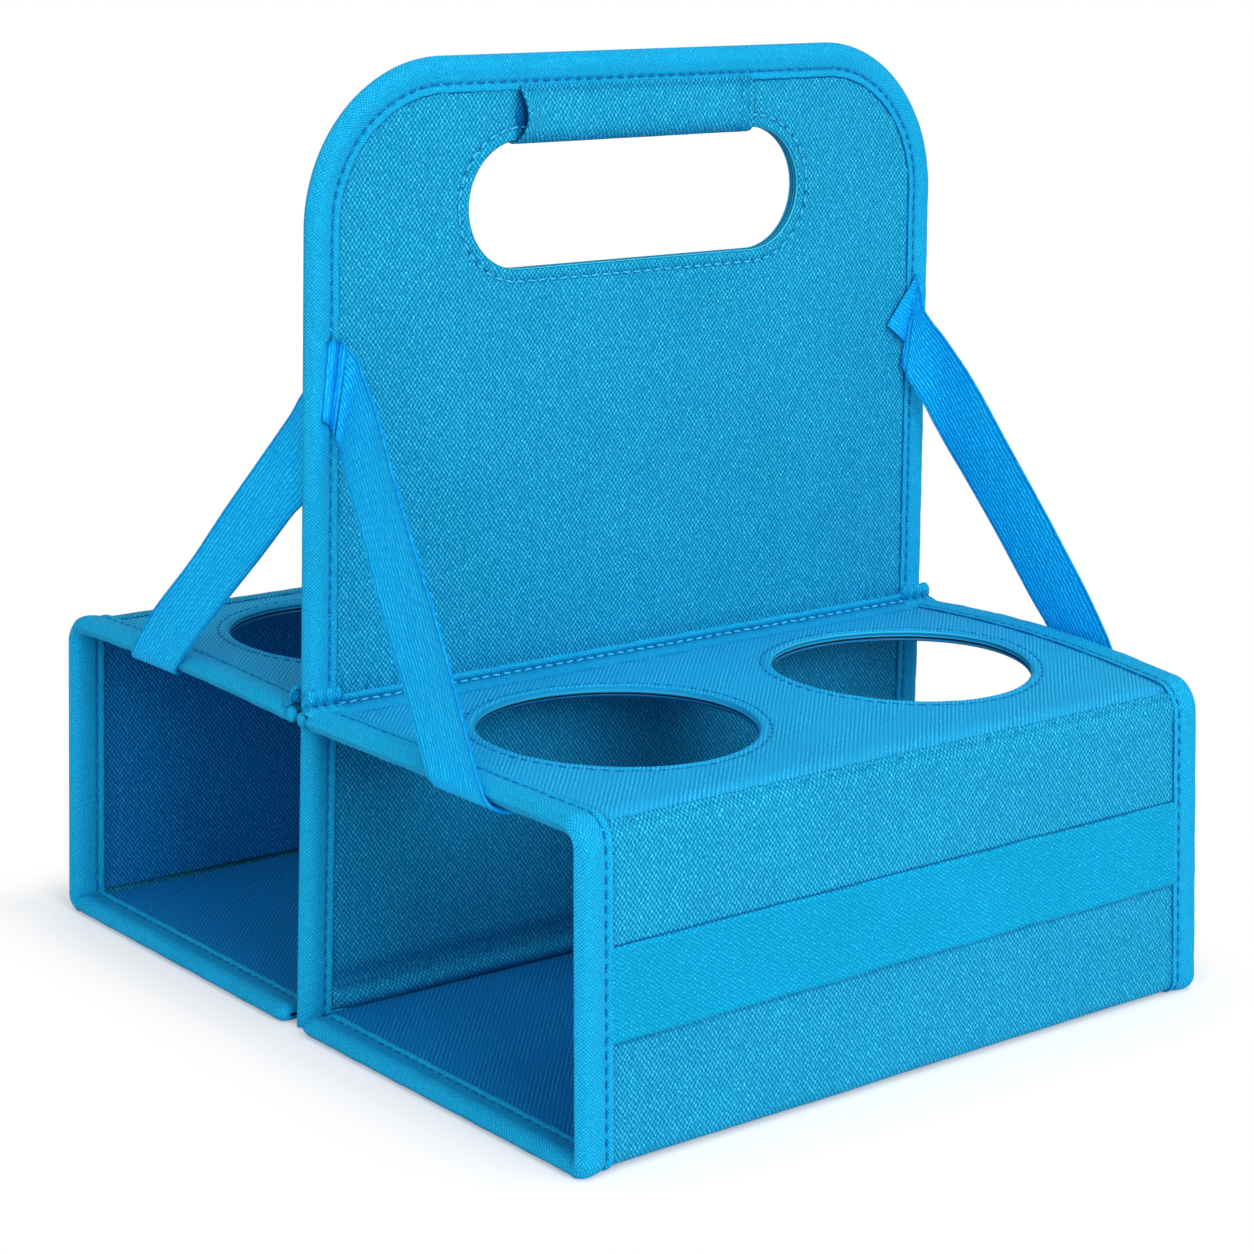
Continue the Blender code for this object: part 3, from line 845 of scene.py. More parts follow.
class CARRIER_OT_materials(bpy.types.Operator):
    """Make the cloths, the board and the thread"""

    bl_idname = "carrier.materials"
    bl_label = "Materials"

    def execute(self, context):
        colours = context.scene.carrier_colours
        weave, twill, knit = plain_weave(), twill_weave(), ribbed_knit()
        dyed_thread()
        oxford = {"Warp pitch": 0.715, "Weft pitch": 0.905, "Waviness": 1.7}
        twilled = {"Lines across": 0.574, "Lines along": 0.6, "Thread pitch": 0.8, "Waviness": 0.8}
        tape = {"Warp pitch": 0.5, "Weft pitch": 0.52, "Waviness": 1.3}
        webbing = {"Warp pitch": 0.95, "Weft pitch": 0.62, "Waviness": 2.0, "Square": 0.25}
        elastic = {"Rib pitch": 1.22, "Loop pitch": 2.8, "Waviness": 1.5}
        for name, pattern, values, tone, swing, contrast, relief in (
            ("oxford_cloth", weave, oxford, colours.oxford, 1.25, 1.0, 0.00034),
            ("lining_cloth", weave, oxford, colours.lining, 1.0, 1.1, 0.0003),
            ("base_cloth", twill, twilled, colours.lining, 0.7, 0.9, 0.00018),
            ("ribbed_cloth", twill, twilled, colours.ribbed, 0.8, 0.9, 0.00015),
            ("binding_tape", weave, tape, colours.tape, 0.75, 1.15, 0.00014),
            ("webbing", weave, webbing, colours.webbing, 0.9, 0.9, 0.0002),
            ("elastic", knit, elastic, colours.elastic, 0.8, 0.85, 0.0002),
        ):
            cloth_material(name, pattern, values, shades(tone, swing), contrast, relief)
        core_material()
        thread_material("dark_thread", colours.thread)
        thread_material("light_thread", colours.welt_thread)
        return {"FINISHED"}


SLOTS = {"lining_cloth": "oxford_cloth", "base_cloth": "oxford_cloth"}


def dress(cloth, name, kind, nodes, body=None, slot=None):
    """Make a cloth's piece in place of some CAD nodes, and carry it on a body."""
    piece = cloth.build(name, material(kind))
    slot or SLOTS.get(kind, kind)
    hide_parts(*nodes)
    if body:
        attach(piece, body)
    return piece


# Offsets of the rows of points round a hole
COLLAR = np.array((0, 0.0004, 0.0009, 0.0014, 0.0019, 0.0024, 0.0029, 0.0034, 0.0040, 0.0047,
                   0.0055, 0.0065, 0.0080))


def handle_outline(inset):
    half = HANDLE_HALF - inset
    radius = HANDLE_RADIUS - inset
    low, shoulder = inset * 0.6, HANDLE_TOP - HANDLE_RADIUS
    outline = [(-half, low), (half, low)]
    for sign, first in ((1, 0), (-1, pi / 2)):
        middle = sign * (half - radius)
        for angle in np.linspace(first, first + pi / 2, 40):
            outline.append((middle + radius * cos(angle), shoulder + radius * sin(angle)))
    return outline


def hand_hole(shape):
    """The hand hole's centre, half its straight length and its radius."""
    radius = shape.hand_height / 2
    return (shape.hand_y, shape.hand_z), shape.hand_width / 2 - radius, radius


def handle_cover(shape, sewing):
    """The right face's cover, rolled in at the hand hole: points, coordinates and shades."""
    centre, reach, radius = hand_hole(shape)
    flat, off, along = holed_sheet(centre, reach, radius, handle_outline(0.0042), HAND_STEPS,
                                   COLLAR, 0.0032)
    y, z = flat[..., 0], flat[..., 1]
    dent, shade = sewn(along, off - HAND_SEAM, sewing)
    shade = shade * 1.5
    roll = 0.00025 * hill(off - 0.0012, 0.0012)
    swell = waver(y, 0.21) * waver(z, 0.17, 1.0) * 0.0003
    pull = waver(along, 0.011, 0.6) * hill(off - 0.0045, 0.003) * 0.00012
    height = HANDLE_SKIN + dent + roll + swell * smooth(off, 0.004, 0.03) + pull

    # Painted shade behind the wrap's open end, in the boxes, above the welt and above the pad
    past = y - shape.wrap_y + shape.wrap_length / 2
    beside = smooth(z, shape.hand_z + radius - 0.001, shape.hand_z + radius)
    gap = smooth(past, -0.0008, -0.0001) * (past < 0.006) * beside
    for dark in (0.95 * gap, 0.38 * (1 - smooth(z, 0.0900, 0.0935)),
                 0.5 * hill(z - 0.0975, 0.0011), 0.85 * hill(z - 0.0135, 0.0032)):
        shade = np.maximum(shade, dark)

    points = stack(height, y, z)
    depth = np.array((0.00190, 0.00165, 0.0014, 0.00115, 0.0009, 0.0006, 0.0003, 0.0001))
    lip, lip_coords = roll_in(points[0], flat, depth)
    # Painted shade lines along the lip that rolls into the hand hole
    lines = 0.75 * hill(depth - 0.0010, 0.00018) + 0.8 * hill(depth - 0.0020, 0.0002)
    shade = np.concatenate((lines[:, None] + 0 * shade[:1], shade))
    return np.concatenate((lip, points)), np.concatenate((lip_coords, flat)), shade


class CARRIER_OT_handle_covers(bpy.types.Operator):
    """Cover both faces of the handle panel, rolled in at the hand hole"""

    bl_idname = "carrier.handle_covers"
    bl_label = "Handle covers"

    def execute(self, context):
        shape = context.scene.carrier_shape
        points, coords, shade = handle_cover(shape, context.scene.carrier_sewing)
        for name, sign in (("handle_right_cover", 1), ("handle_left_cover", -1)):
            order = slice(None, None, sign)
            cloth = Cloth().shell(handle_place(points * (sign, 1, 1))[:, order],
                                  coords[:, order], CLOTH, shade[:, order], loop=True)
            dress(cloth, name + "_cloth", "oxford_cloth", [name], "handle")

        centre, reach, radius = hand_hole(shape)
        flat, _, _ = holed_sheet(centre, reach, radius + 0.0004, handle_outline(0.0016),
                                 HAND_STEPS, COLLAR[::3], 0.02)
        points = stack(0.0013, flat[..., 0], flat[..., 1])
        cloth = Cloth().shell(handle_place(points), flat, 0.0026, loop=True)
        dress(cloth, "handle_core", "core_board", ["handle_board"], "handle")
        return {"FINISHED"}


def roll_in(edge, flat, depths, axis=0):
    """Rows that turn a cloth's edge down into its hole, from deep inside it up to its face."""
    inward = flat[0] - flat[2]
    inward /= np.linalg.norm(inward, axis=1, keepdims=True)
    across = [i for i in range(3) if i != axis]
    rows = []
    for depth in depths:
        row = edge.copy()
        row[:, axis] -= depth
        row[:, across] += inward * 0.0004 * min(1, abs(depth) / 0.0005) ** 0.5
        rows.append(row)
    return np.stack(rows), stack(np.abs(depths), 0.00045)[:, None] + 0 * flat[:1]


def grip_wrap(shape):
    """The cloth round the grip bar, open in front and sewn down behind."""
    bottom = shape.hand_z + shape.hand_height / 2 - 0.0008
    top = HANDLE_TOP - shape.handle_tape_width + 0.0012
    half = shape.wrap_length / 2
    ys = fine_ends(-half, half, 0.006, 0.0007, 0.0014)
    profile = [(0.0030, top), (0.0033, top - 0.003), (0.0039, top - 0.007),
               (0.0042, bottom + 0.006), (0.0040, bottom + 0.003), (0.0031, bottom + 0.0009),
               (0.0014, bottom)]
    profile += [(-x, z) for x, z in reversed(profile)]
    line = curve_through(np.array(profile), 0.0008)
    x, z, y = np.broadcast_arrays(line[:, :1], line[:, 1:], ys[None])
    low = np.clip((top - z) / (top - bottom), 0, 1)
    open_end = hill(y + half, 0.005) * np.sin(pi * low)
    x = x + np.sign(x) * (open_end * 0.0010 + waver(y, 0.031) * 0.00022)
    sewn_end = smooth(y, half - 0.0058, half - 0.0040)
    x = x - np.sign(x) * sewn_end * np.maximum(np.abs(x) - 0.0032, 0) * 0.6
    ridge = hill(y - half + 0.0012, 0.0008) + hill(y - half + 0.0034, 0.0007)
    x = x + np.sign(x) * ridge * 0.00028
    # Painted shade between and beside the sewn end's ridges, under the handle's binding and over
    # the wrap's lower part
    shade = 0.35 * hill(y - half + 0.0023, 0.0005) + 0.3 * hill(y - half + 0.0048, 0.0008)
    shade = shade + 0.4 * hill(z - top + 0.0012, 0.0008) + 0.35 * smooth(low, 0.72, 1.0)
    y = y + hill(y + half, 0.004) * np.sin(pi * low) * 0.0018 + shape.wrap_y
    return stack(x, y, z), stack(ys[None], run(line)[:, None]), shade


class CARRIER_OT_grip_wrap(bpy.types.Operator):
    """Wrap cloth round the grip bar, open at its front end and sewn down at its rear end"""

    bl_idname = "carrier.grip_wrap"
    bl_label = "Grip wrap"

    def execute(self, context):
        points, coords, shade = grip_wrap(context.scene.carrier_shape)
        cloth = Cloth().shell(handle_place(points)[:, ::-1], coords[:, ::-1], 0.0007,
                              shade[:, ::-1])
        dress(cloth, "grip_wrap_cloth", "oxford_cloth", ["grip_wrap"], "handle")
        return {"FINISHED"}


class CARRIER_OT_handle_binding(bpy.types.Operator):
    """Bind the handle panel's edges"""

    bl_idname = "carrier.handle_binding"
    bl_label = "Handle binding"

    def execute(self, context):
        shape, sewing = context.scene.carrier_shape, context.scene.carrier_sewing
        cloth = Cloth()
        bind(cloth, handle_edge(), HANDLE_SKIN, shape.handle_tape_width, 0.00045, sewing,
             handle_place)
        dress(cloth, "handle_binding", "binding_tape", ["handle_tape"], "handle")

        edge = Edge()
        for y in steps(-HANDLE_HALF + 0.0098, HANDLE_HALF - 0.0098, 0.002):
            edge.add((0, y, 0), (0, 0, 1), (1, 0, 0))
        cloth = Cloth()
        bind(cloth, edge.close(), HANDLE_SKIN, 0.0040, 0.0, sewing, handle_place)
        dress(cloth, "handle_foot_binding", "binding_tape", ["handle_base_tape"], "handle")
        return {"FINISHED"}


def top_height(x):
    """Upper face of the top cloth, which starts down round the corner."""
    radius = FOLD + SKIN
    over = np.clip(x - UPPER[0], 0, radius * 0.99)
    return UPPER[1] + np.sqrt(radius**2 - over**2)


def panel_with_cups(cloth, shape, place, height, thickness, relief, flip, edge_x, lip=(),
                    start=PANEL_START, wider=0.0):
    """A panel's sheet with its two cup holes, as two halves that share the middle line."""
    half = HALF_DEPTH - TUCK
    outline = [(start, 0), (edge_x, 0), (edge_x, half), (start, half)]
    centre = (shape.cup_x, shape.cup_pitch / 2)
    flat, off, along = holed_sheet(centre, 0, shape.cup_hole / 2 + wider, outline, CUP_STEPS,
                                   COLLAR, 0.0022)
    rise, shade = relief(flat, off, along)
    sheet = stack(flat[..., 0], flat[..., 1], height(flat[..., 0]) + rise)
    coords = flat
    if len(lip):
        lip = np.array(lip)
        rows, lip_coords = roll_in(sheet[0], flat, lip, axis=2)
        sheet = np.concatenate((rows, sheet))
        coords = np.concatenate((lip_coords, flat))
        # Painted shade line along the lip that rolls into the cup hole
        lines = 0.7 * hill(np.abs(lip) - 0.0008, 0.00018)
        shade = np.concatenate((lines[:, None] + 0 * shade[:1], shade))
    for mirror in (1, -1):
        order = slice(None, None, -1 if (mirror < 0) != flip else 1)
        points = place(sheet * (1, mirror, 1))
        cloth.shell(points[:, order], (coords * (1, mirror))[:, order], thickness,
                    shade[:, order], loop=True)


class CARRIER_OT_top_panels(bpy.types.Operator):
    """Cover and line the top panels, with their boards and cup holes"""

    bl_idname = "carrier.top_panels"
    bl_label = "Top panels"

    def execute(self, context):
        shape, sewing = context.scene.carrier_shape, context.scene.carrier_sewing
        hem = HALF_DEPTH - shape.tape_width

        def cover(flat, off, along):
            x, y = flat[..., 0], flat[..., 1]
            dent, shade = 0.6 * np.array(sewn(along, off - CUP_SEAM, sewing))
            rise = dent + 0.00030 * hill(off - 0.0010, 0.0011) - 0.00030 * hill(off, 0.0004)
            rise = rise + waver(along, 0.013) * hill(off - 0.0035, 0.003) * 0.00010
            rise = rise + waver(x, 0.09) * waver(y, 0.11, 0.5) * 0.00025 * smooth(off, 0.004, 0.02)
            # Painted shadow along the tape's hem, and painted shade at the welt's edge
            shade = shade + 0.8 * hill(hem - y, 0.0005)
            return rise, np.maximum(shade, 0.6 * hill(x - 0.0098, 0.0007))

        def plain(flat, off, along):
            # Painted shadow along the tape's hem
            return np.zeros(off.shape), 0.7 * hill(hem - flat[..., 1], 0.0005)

        for box in BOXES:
            for name, kind, node, height, thickness, relief, flip, edge_x, more in (
                ("top_cloth", "ribbed_cloth", "top_cover", top_height, CLOTH, cover, False,
                 box.seam(0.0004),
                 {"lip": (0.0017, 0.0015, 0.0012, 0.0010, 0.0008, 0.0006, 0.0004, 0.0002, 0.0001)}),
                ("top_lining_cloth", "lining_cloth", "top_lining", lambda x: TOP_MID - SKIN,
                 CLOTH, plain, True, UPPER[0], {"lip": (-0.0009, -0.0007, -0.0004, -0.0002)}),
                ("top_core", "core_board", "top_board", lambda x: TOP_MID + 0.001, 0.0021, plain,
                 False, UPPER[0], {"start": PANEL_START + 0.004, "wider": 0.0003}),
            ):
                cloth = Cloth()
                panel_with_cups(cloth, shape, box.place, height, thickness, relief, flip, edge_x,
                                **more)
                box.dress(cloth, name, kind, [node], "top")
        return {"FINISHED"}


def side_path(lap):
    """The side cloth's way in the XZ plane, from its seam round both corners, and its normals."""
    radius = FOLD + SKIN
    flat, seam_angle = lap
    way = [(UPPER[0] - flat + part, UPPER[1] + radius) for part in np.arange(0, flat, 0.0006)]
    out = [(0, 1)] * len(way)
    for angle in np.linspace(seam_angle, 0, 18):
        way.append((UPPER[0] + radius * cos(angle), UPPER[1] + radius * sin(angle)))
        out.append((cos(angle), sin(angle)))
    levels = np.concatenate((steps(UPPER[1], LOWER[1], 0.0012)[1:],
                             BAND_HIGH + np.arange(0, 0.0012, 0.00024)))
    for z in np.sort(levels)[::-1]:
        way.append((SIDE_MID + SKIN, z))
        out.append((1, 0))
    radius = LOWER[1] - BASE_MID + SKIN
    for angle in np.linspace(0, -pi / 2, 9)[1:]:
        way.append((LOWER[0] + radius * cos(angle), LOWER[1] + radius * sin(angle)))
        out.append((cos(angle), sin(angle)))
    way = np.array(way)
    return way, np.array(out), run(way)


def flat_sheet(place, corner, across, up, thickness, shade=None, size=0.004):
    """A flat cloth from one corner along two sides."""
    corner, across, up = (np.array(v, float) for v in (corner, across, up))
    width, height = np.linalg.norm(across), np.linalg.norm(up)
    s, t = steps(0, width, size), steps(0, height, size)
    points = corner + (across / width) * s[:, None, None] + (up / height) * t[None, :, None]
    coords = stack(s[:, None], t[None])
    return Cloth().shell(place(points), coords, thickness, shade and shade(coords))


def side_cloth(path, half, hem):
    """The side cloth with its lapped seam and its shades."""
    way, out, along = path
    s, y = along[:, None], steps(-half, half, 0.0013)[None]
    rise = 0.00040 * hill(s - 0.0006, 0.0011) + 0.00028 * hill(s - 0.0036, 0.0015)
    dimples = 0.6 + 0.4 * np.cos(2 * pi * y / 0.0038)
    rise = rise - 0.0003 * hill(s - 0.0019, 0.0007) * dimples
    rise = rise + waver(y, 0.012, 0.4) * 0.00028 * hill(s - 0.003, 0.004)
    rise = rise + waver(y, 0.13) * waver(s, 0.12, 0.8) * 0.0003 * smooth(s, 0.01, 0.03)
    edge = waver(y, 0.0090, 1.2) * 0.0002 * (1 - smooth(s, 0, 0.004))
    # Painted shade along the seam's edge and groove, painted shadow along the tapes' hems and under
    # the band's upper edge, and painted shade at its lower edge
    shade = 0.5 * hill(s, 0.0004) + 0.2 * hill(s - 0.0019, 0.0005)
    shade = shade + 0.8 * hill(hem - np.abs(y), 0.0006)
    shade = shade + 0.95 * hill(way[:, 1:] - BAND_HIGH - 0.00035, 0.0004)
    shade = shade + 0.6 * hill(way[:, 1:] - BAND_LOW, 0.0006)
    tangent = stack(out[:, 1], -out[:, 0])
    flat = way[:, None] + out[:, None] * rise[..., None] + tangent[:, None] * edge[..., None]
    return stack(flat[..., 0], y, flat[..., 1]), stack(y, s), shade


class CARRIER_OT_side_panels(bpy.types.Operator):
    """Cover the side panels from the seam on the upper corner to the floor, and line them"""

    bl_idname = "carrier.side_panels"
    bl_label = "Side panels"

    def execute(self, context):
        half = HALF_DEPTH - TUCK
        hem = HALF_DEPTH - context.scene.carrier_shape.tape_width
        for box in BOXES:
            points, coords, shade = side_cloth(side_path(box.lap()), half, hem)
            cloth = Cloth().shell(box.place(points), coords, 0.0006, shade)
            piece = box.dress(cloth, "side_cloth", "oxford_cloth",
                              ["side_cover", "upper_fold", "lower_fold"])
            box.blend(piece, "top", "side", *CORNER_BEND)

            low, high = LOWER[1], UPPER[1]
            for name, kind, node, x, thickness in (
                ("side_lining_cloth", "lining_cloth", "side_lining", SIDE_MID - SKIN + CLOTH,
                 CLOTH),
                ("side_core", "core_board", "side_board", SIDE_MID + 0.001, 0.0020),
            ):
                # Painted shadow along the tapes' hems
                cloth = flat_sheet(
                    box.place, (x, -half, low), (0, 2 * half, 0), (0, 0, high - low), thickness,
                    lambda c: 0.8 * hill(hem - np.abs(c[..., 0] - half), 0.002))
                box.dress(cloth, name, kind, [node], "side")
        return {"FINISHED"}


CORNER_BEND = ((UPPER[0], TOP_MID), (SIDE_MID, UPPER[1]))


class CARRIER_OT_base_panels(bpy.types.Operator):
    """Cover and line the base panels"""

    bl_idname = "carrier.base_panels"
    bl_label = "Base panels"

    def execute(self, context):
        half = HALF_DEPTH - TUCK
        for box in BOXES:
            for name, kind, node, z, thickness, first in (
                ("base_cloth", "oxford_cloth", "base_cover", BASE_MID - SKIN + CLOTH, CLOTH,
                 PANEL_START),
                ("base_lining_cloth", "base_cloth", "base_lining", BASE_MID + SKIN, CLOTH,
                 PANEL_START),
                ("base_core", "core_board", "base_board", BASE_MID + 0.001, 0.0020,
                 PANEL_START + 0.004),
            ):
                cloth = flat_sheet(box.place, (first, -half, z), (LOWER[0] - first, 0, 0),
                                   (0, 2 * half, 0), thickness)
                box.dress(cloth, name, kind, [node], "base")
        return {"FINISHED"}


def knuckle(cloth, sign, place):
    """The binding's end, tucked in a small fold against the handle panel."""
    turn = np.linspace(0, 2 * pi, 21)
    tilt = np.linspace(0, pi, 13)[:, None]
    ring = 1 + 0.10 * np.cos(3 * turn + 2 * tilt)
    lump = stack(0.0019 * np.sin(tilt) * np.cos(turn) * ring, 0.0017 * np.cos(tilt),
                 0.0023 * np.sin(tilt) * np.sin(turn) * ring)
    coords = stack(turn * 0.0024, tilt * 0.003)
    # Painted shade round its middle, on the side away from the handle
    shade = 0.5 * hill(tilt - pi / 2, 0.25) * hill(np.cos(turn) - 1, 0.5)
    cloth.grid(place(lump + np.array((0.0027, sign * 0.1184, 0.0918))), coords, shade)


class CARRIER_OT_box_binding(bpy.types.Operator):
    """Bind the boxes' front and rear edges, in one run over the top and down the side"""

    bl_idname = "carrier.box_binding"
    bl_label = "Box binding"

    def execute(self, context):
        shape, sewing = context.scene.carrier_shape, context.scene.carrier_sewing
        for box in BOXES:
            for sign in (-1, 1):
                end = box.end(sign)
                cloth = Cloth()
                bind(cloth, wall_edge(sign), SKIN, shape.tape_width, 0.00045, sewing, box.place,
                     ("first",))
                knuckle(cloth, sign, box.place)
                piece = box.dress(cloth, end + "_binding", "binding_tape",
                                  [f"top_{end}_tape", f"side_{end}_tape"])
                box.blend(piece, "top", "side", *CORNER_BEND)

                cloth = Cloth()
                bind(cloth, base_edge(sign), SKIN, shape.tape_width, 0.0001, sewing, box.place,
                     ("last",), 0.45)
                box.dress(cloth, end + "_base_binding", "binding_tape", [f"base_{end}_tape"],
                          "base")
        return {"FINISHED"}


# The hinge cloths' outer faces in the XZ plane. The welt runs from its rolled top on the handle to
# the top panel, and the pad down the handle to the base panel.
WELT = np.array((
    (0.00205, 0.0966), (0.0026, 0.0971), (0.0033, 0.0971), (0.0038, 0.0966), (0.0038, 0.0959),
    (0.0034, 0.0952), (0.0034, 0.0947), (0.0042, 0.0943), (0.0053, 0.0941), (0.0068, 0.0938),
    (0.0084, 0.09365), (0.0098, 0.0935),
))
PAD = np.array((
    (0.0021, 0.0108), (0.0027, 0.0106), (0.0038, 0.0099), (0.0049, 0.0088), (0.0055, 0.0074),
    (0.0053, 0.0060), (0.0047, 0.0051), (0.0043, 0.0045),
))
WELT_SEAM = 0.0948           # height of the welt's stitches
WELT_BEND = ((0.0034, 0.0940), (0.0100, 0.0940))


def welt(sewing):
    """A top hinge cloth with its sewn groove, a rolled tab at each end, and puckers, with painted
    shade in the groove, between the tabs' ridges and where each tab starts.
    """
    half = HANDLE_HALF + 0.0022
    y = steps(-half, half, 0.0008)[None]
    line = curve_through(WELT, 0.0005)
    x, z = line[:, :1], line[:, 1:]
    dent, shade = sewn(y, z - WELT_SEAM + 0 * y, sewing)
    near = x < 0.006
    dent = np.where(near, dent * 1.3, 0)
    shade = np.where(near, shade * 0.8 + 0.2 * hill(z - WELT_SEAM, 0.0006), 0)
    normal = normals(np.stack((line[:, 0], 0 * line[:, 0], line[:, 1]), axis=-1)[:, None]
                     + np.array((0, 1.0, 0)) * np.arange(2)[None, :, None])[:, 0]
    tab = smooth(np.abs(y), half - 0.0132, half - 0.0118)
    upper = 1 - smooth(x, 0.0044, 0.0075)
    ridge = 0.5 - 0.5 * np.cos(2 * pi * y / 0.0032)
    out = 0.0011 * tab * upper * (0.75 + 0.35 * ridge) + waver(y, 0.017) * 0.00018
    shade = shade + 0.4 * tab * upper * (1 - ridge) ** 2
    points = stack(x, y, z) + np.abs(normal[:, None]) * (dent + out)[..., None]
    points[..., 2] += 0.0015 * tab * smooth(z, 0.0950, 0.0968) * upper
    shade = shade + 0.6 * hill(np.abs(y) - half + 0.0126, 0.0005) * upper
    shrink = np.sqrt(1 - np.clip((np.abs(y) - half + 0.0018) / 0.00185, 0, 1) ** 2)
    middle = np.array((0.0029, 0, 0.0950))
    squeezed = middle + (points - middle) * np.array((1, 0, 1)) * shrink[..., None]
    points = stack(squeezed[..., 0], points[..., 1], squeezed[..., 2])
    return points, stack(y, run(line)[:, None]), shade


def pad():
    """A base hinge cloth, drawn in at its ends, with painted shade all over it and painted shade
    lines below and above its roll.
    """
    line = curve_through(PAD, 0.0005)
    x, z = line[:, :1], line[:, 1:]
    inner = HANDLE_HALF - 0.0100
    y = steps(-inner, inner, 0.0025)[None]
    sink = smooth(inner - np.abs(y), 0, 0.007)
    x = 0.0021 + (x - 0.0021) * (0.15 + 0.85 * sink)
    x = x + waver(y, 0.045) * 0.0003 * hill(z - 0.0075, 0.003)
    shade = 0.35 + 0.6 * hill(z - 0.0045, 0.0006) + 0.4 * hill(z - 0.0108, 0.0012) + 0 * y
    return stack(x, y, z), stack(y, run(line)[:, None]), shade


class CARRIER_OT_hinges(bpy.types.Operator):
    """Sew the hinge cloths along the handle panel"""

    bl_idname = "carrier.hinges"
    bl_label = "Hinge cloths"

    def execute(self, context):
        for box in BOXES:
            points, coords, shade = welt(context.scene.carrier_sewing)
            cloth = Cloth().shell(box.place(points), coords, 0.0008, shade)
            piece = box.dress(cloth, "top_hinge_cloth", "binding_tape", ["top_hinge"],
                              slot="oxford_cloth")
            box.blend(piece, "handle", "top", *WELT_BEND)

            points, coords, shade = pad()
            cloth = Cloth().shell(box.place(points), coords, 0.0008, shade)
            piece = dress(cloth, box.name("base_hinge_cloth"), "oxford_cloth",
                          [box.name("base_hinge")], "handle")
            box.name("base_fold")
            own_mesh(piece)
        return {"FINISHED"}


class CARRIER_OT_bands(bpy.types.Operator):
    """Sew the webbing bands on the side panels"""

    bl_idname = "carrier.bands"
    bl_label = "Webbing bands"

    def execute(self, context):
        half = HALF_DEPTH - context.scene.carrier_shape.tape_width + 0.0012
        for box in BOXES:
            y = steps(-half, half, 0.0016)[None]
            z = fine_ends(BAND_LOW, BAND_HIGH, 0.004, 0.0005, 0.0015)[::-1, None]
            edge = np.minimum(z - BAND_LOW, BAND_HIGH - z)
            rise = 0.00055 + 0.00022 * hill(edge - 0.0011, 0.0009) - 0.0004 * hill(edge, 0.0005)
            rise = rise + waver(y, 0.06) * 0.00015
            wander = waver(y, 0.05, 2.0) * 0.0003
            points = stack(SIDE_MID + SKIN + rise, y, z + wander)
            cloth = Cloth().shell(box.place(points), stack(y, z), 0.0005)
            box.dress(cloth, "side_webbing", "webbing", ["side_band"], "side")
        return {"FINISHED"}


# The straps in a right box, in mm with depth taken outwards: rows of upper and lower edge where a
# strap leaves the handle, then each edge on its own down to the top panel
STRAPS = {
    "rear": (
        ((3.5, 110.4, 199.3, 3.4, 104.2, 171.6), (5.0, 109.9, 198.6, 4.1, 105.3, 169.4)),
        ((8.0, 108.9, 193.6), (10.4, 108.4, 187.9), (16.5, 109.4, 181.9), (22.1, 110.4, 176.0),
         (28.2, 111.5, 169.3), (34.5, 112.8, 161.2), (40.5, 114.1, 152.8), (50.2, 116.0, 140.2),
         (62.7, 118.0, 124.8), (78.2, 120.1, 105.9), (85.4, 121.1, 95.5)),
        ((5.0, 106.4, 167.0), (9.7, 109.3, 158.9), (13.1, 111.2, 152.5), (17.9, 113.3, 144.8),
         (24.4, 114.3, 137.1), (37.5, 116.5, 120.9), (44.1, 117.8, 112.2), (52.8, 119.7, 100.6),
         (57.0, 120.6, 95.5)),
    ),
    "front": (
        ((3.0, 111.4, 196.6, 3.0, 113.5, 175.4), (4.4, 111.3, 196.8, 4.5, 113.3, 175.0),
         (4.9, 110.6, 197.3, 5.0, 112.6, 174.6), (4.2, 109.4, 197.3, 4.3, 111.7, 174.0),
         (3.5, 107.6, 196.2, 3.5, 110.6, 173.2), (5.4, 106.9, 195.3, 3.9, 109.6, 170.6)),
        ((9.1, 106.0, 192.1), (12.7, 106.5, 188.1), (21.2, 108.5, 180.9), (27.3, 110.4, 175.0),
         (34.8, 112.2, 165.3), (43.1, 113.8, 154.8), (54.0, 115.8, 141.2), (64.8, 117.7, 127.4),
         (74.2, 119.3, 113.7), (82.8, 120.7, 99.9), (85.4, 121.0, 95.5)),
        ((5.0, 108.6, 166.8), (8.5, 110.0, 162.4), (19.0, 112.4, 150.3), (29.0, 114.4, 136.3),
         (39.4, 116.3, 121.8), (50.3, 118.2, 109.0), (61.0, 120.6, 95.5)),
    ),
    "left front": (
        ((3.0, 111.4, 188.6, 3.0, 113.5, 167.4), (4.4, 111.3, 188.8, 4.5, 113.3, 167.0),
         (4.9, 110.6, 189.3, 5.0, 112.6, 166.6), (3.6, 108.6, 188.4, 3.6, 111.0, 164.8)),
        ((6.5, 108.3, 185.4), (11.3, 109.8, 179.8), (15.7, 111.0, 172.7), (27.0, 113.4, 158.5),
         (42.0, 116.0, 140.5), (56.0, 118.2, 123.5), (72.9, 120.1, 106.1), (81.0, 121.1, 95.5)),
        ((4.5, 110.9, 158.0), (7.4, 112.2, 150.1), (11.9, 113.4, 145.1), (25.4, 115.3, 130.0),
         (41.3, 117.7, 112.8), (56.4, 120.6, 95.5)),
    ),
}
STRAP_FLAP = ((4.2, 110.5, 199.4, 3.9, 109.7, 199.0), (4.0, 104.9, 178.6, 3.2, 98.1, 184.2))


def even(points, count):
    """A curve's points again at even distances along it."""
    curve = curve_through(points, 0.001)
    along = run(curve)
    places = np.linspace(0, along[-1], count)
    return stack(*(np.interp(places, along, curve[:, i]) for i in range(3)))


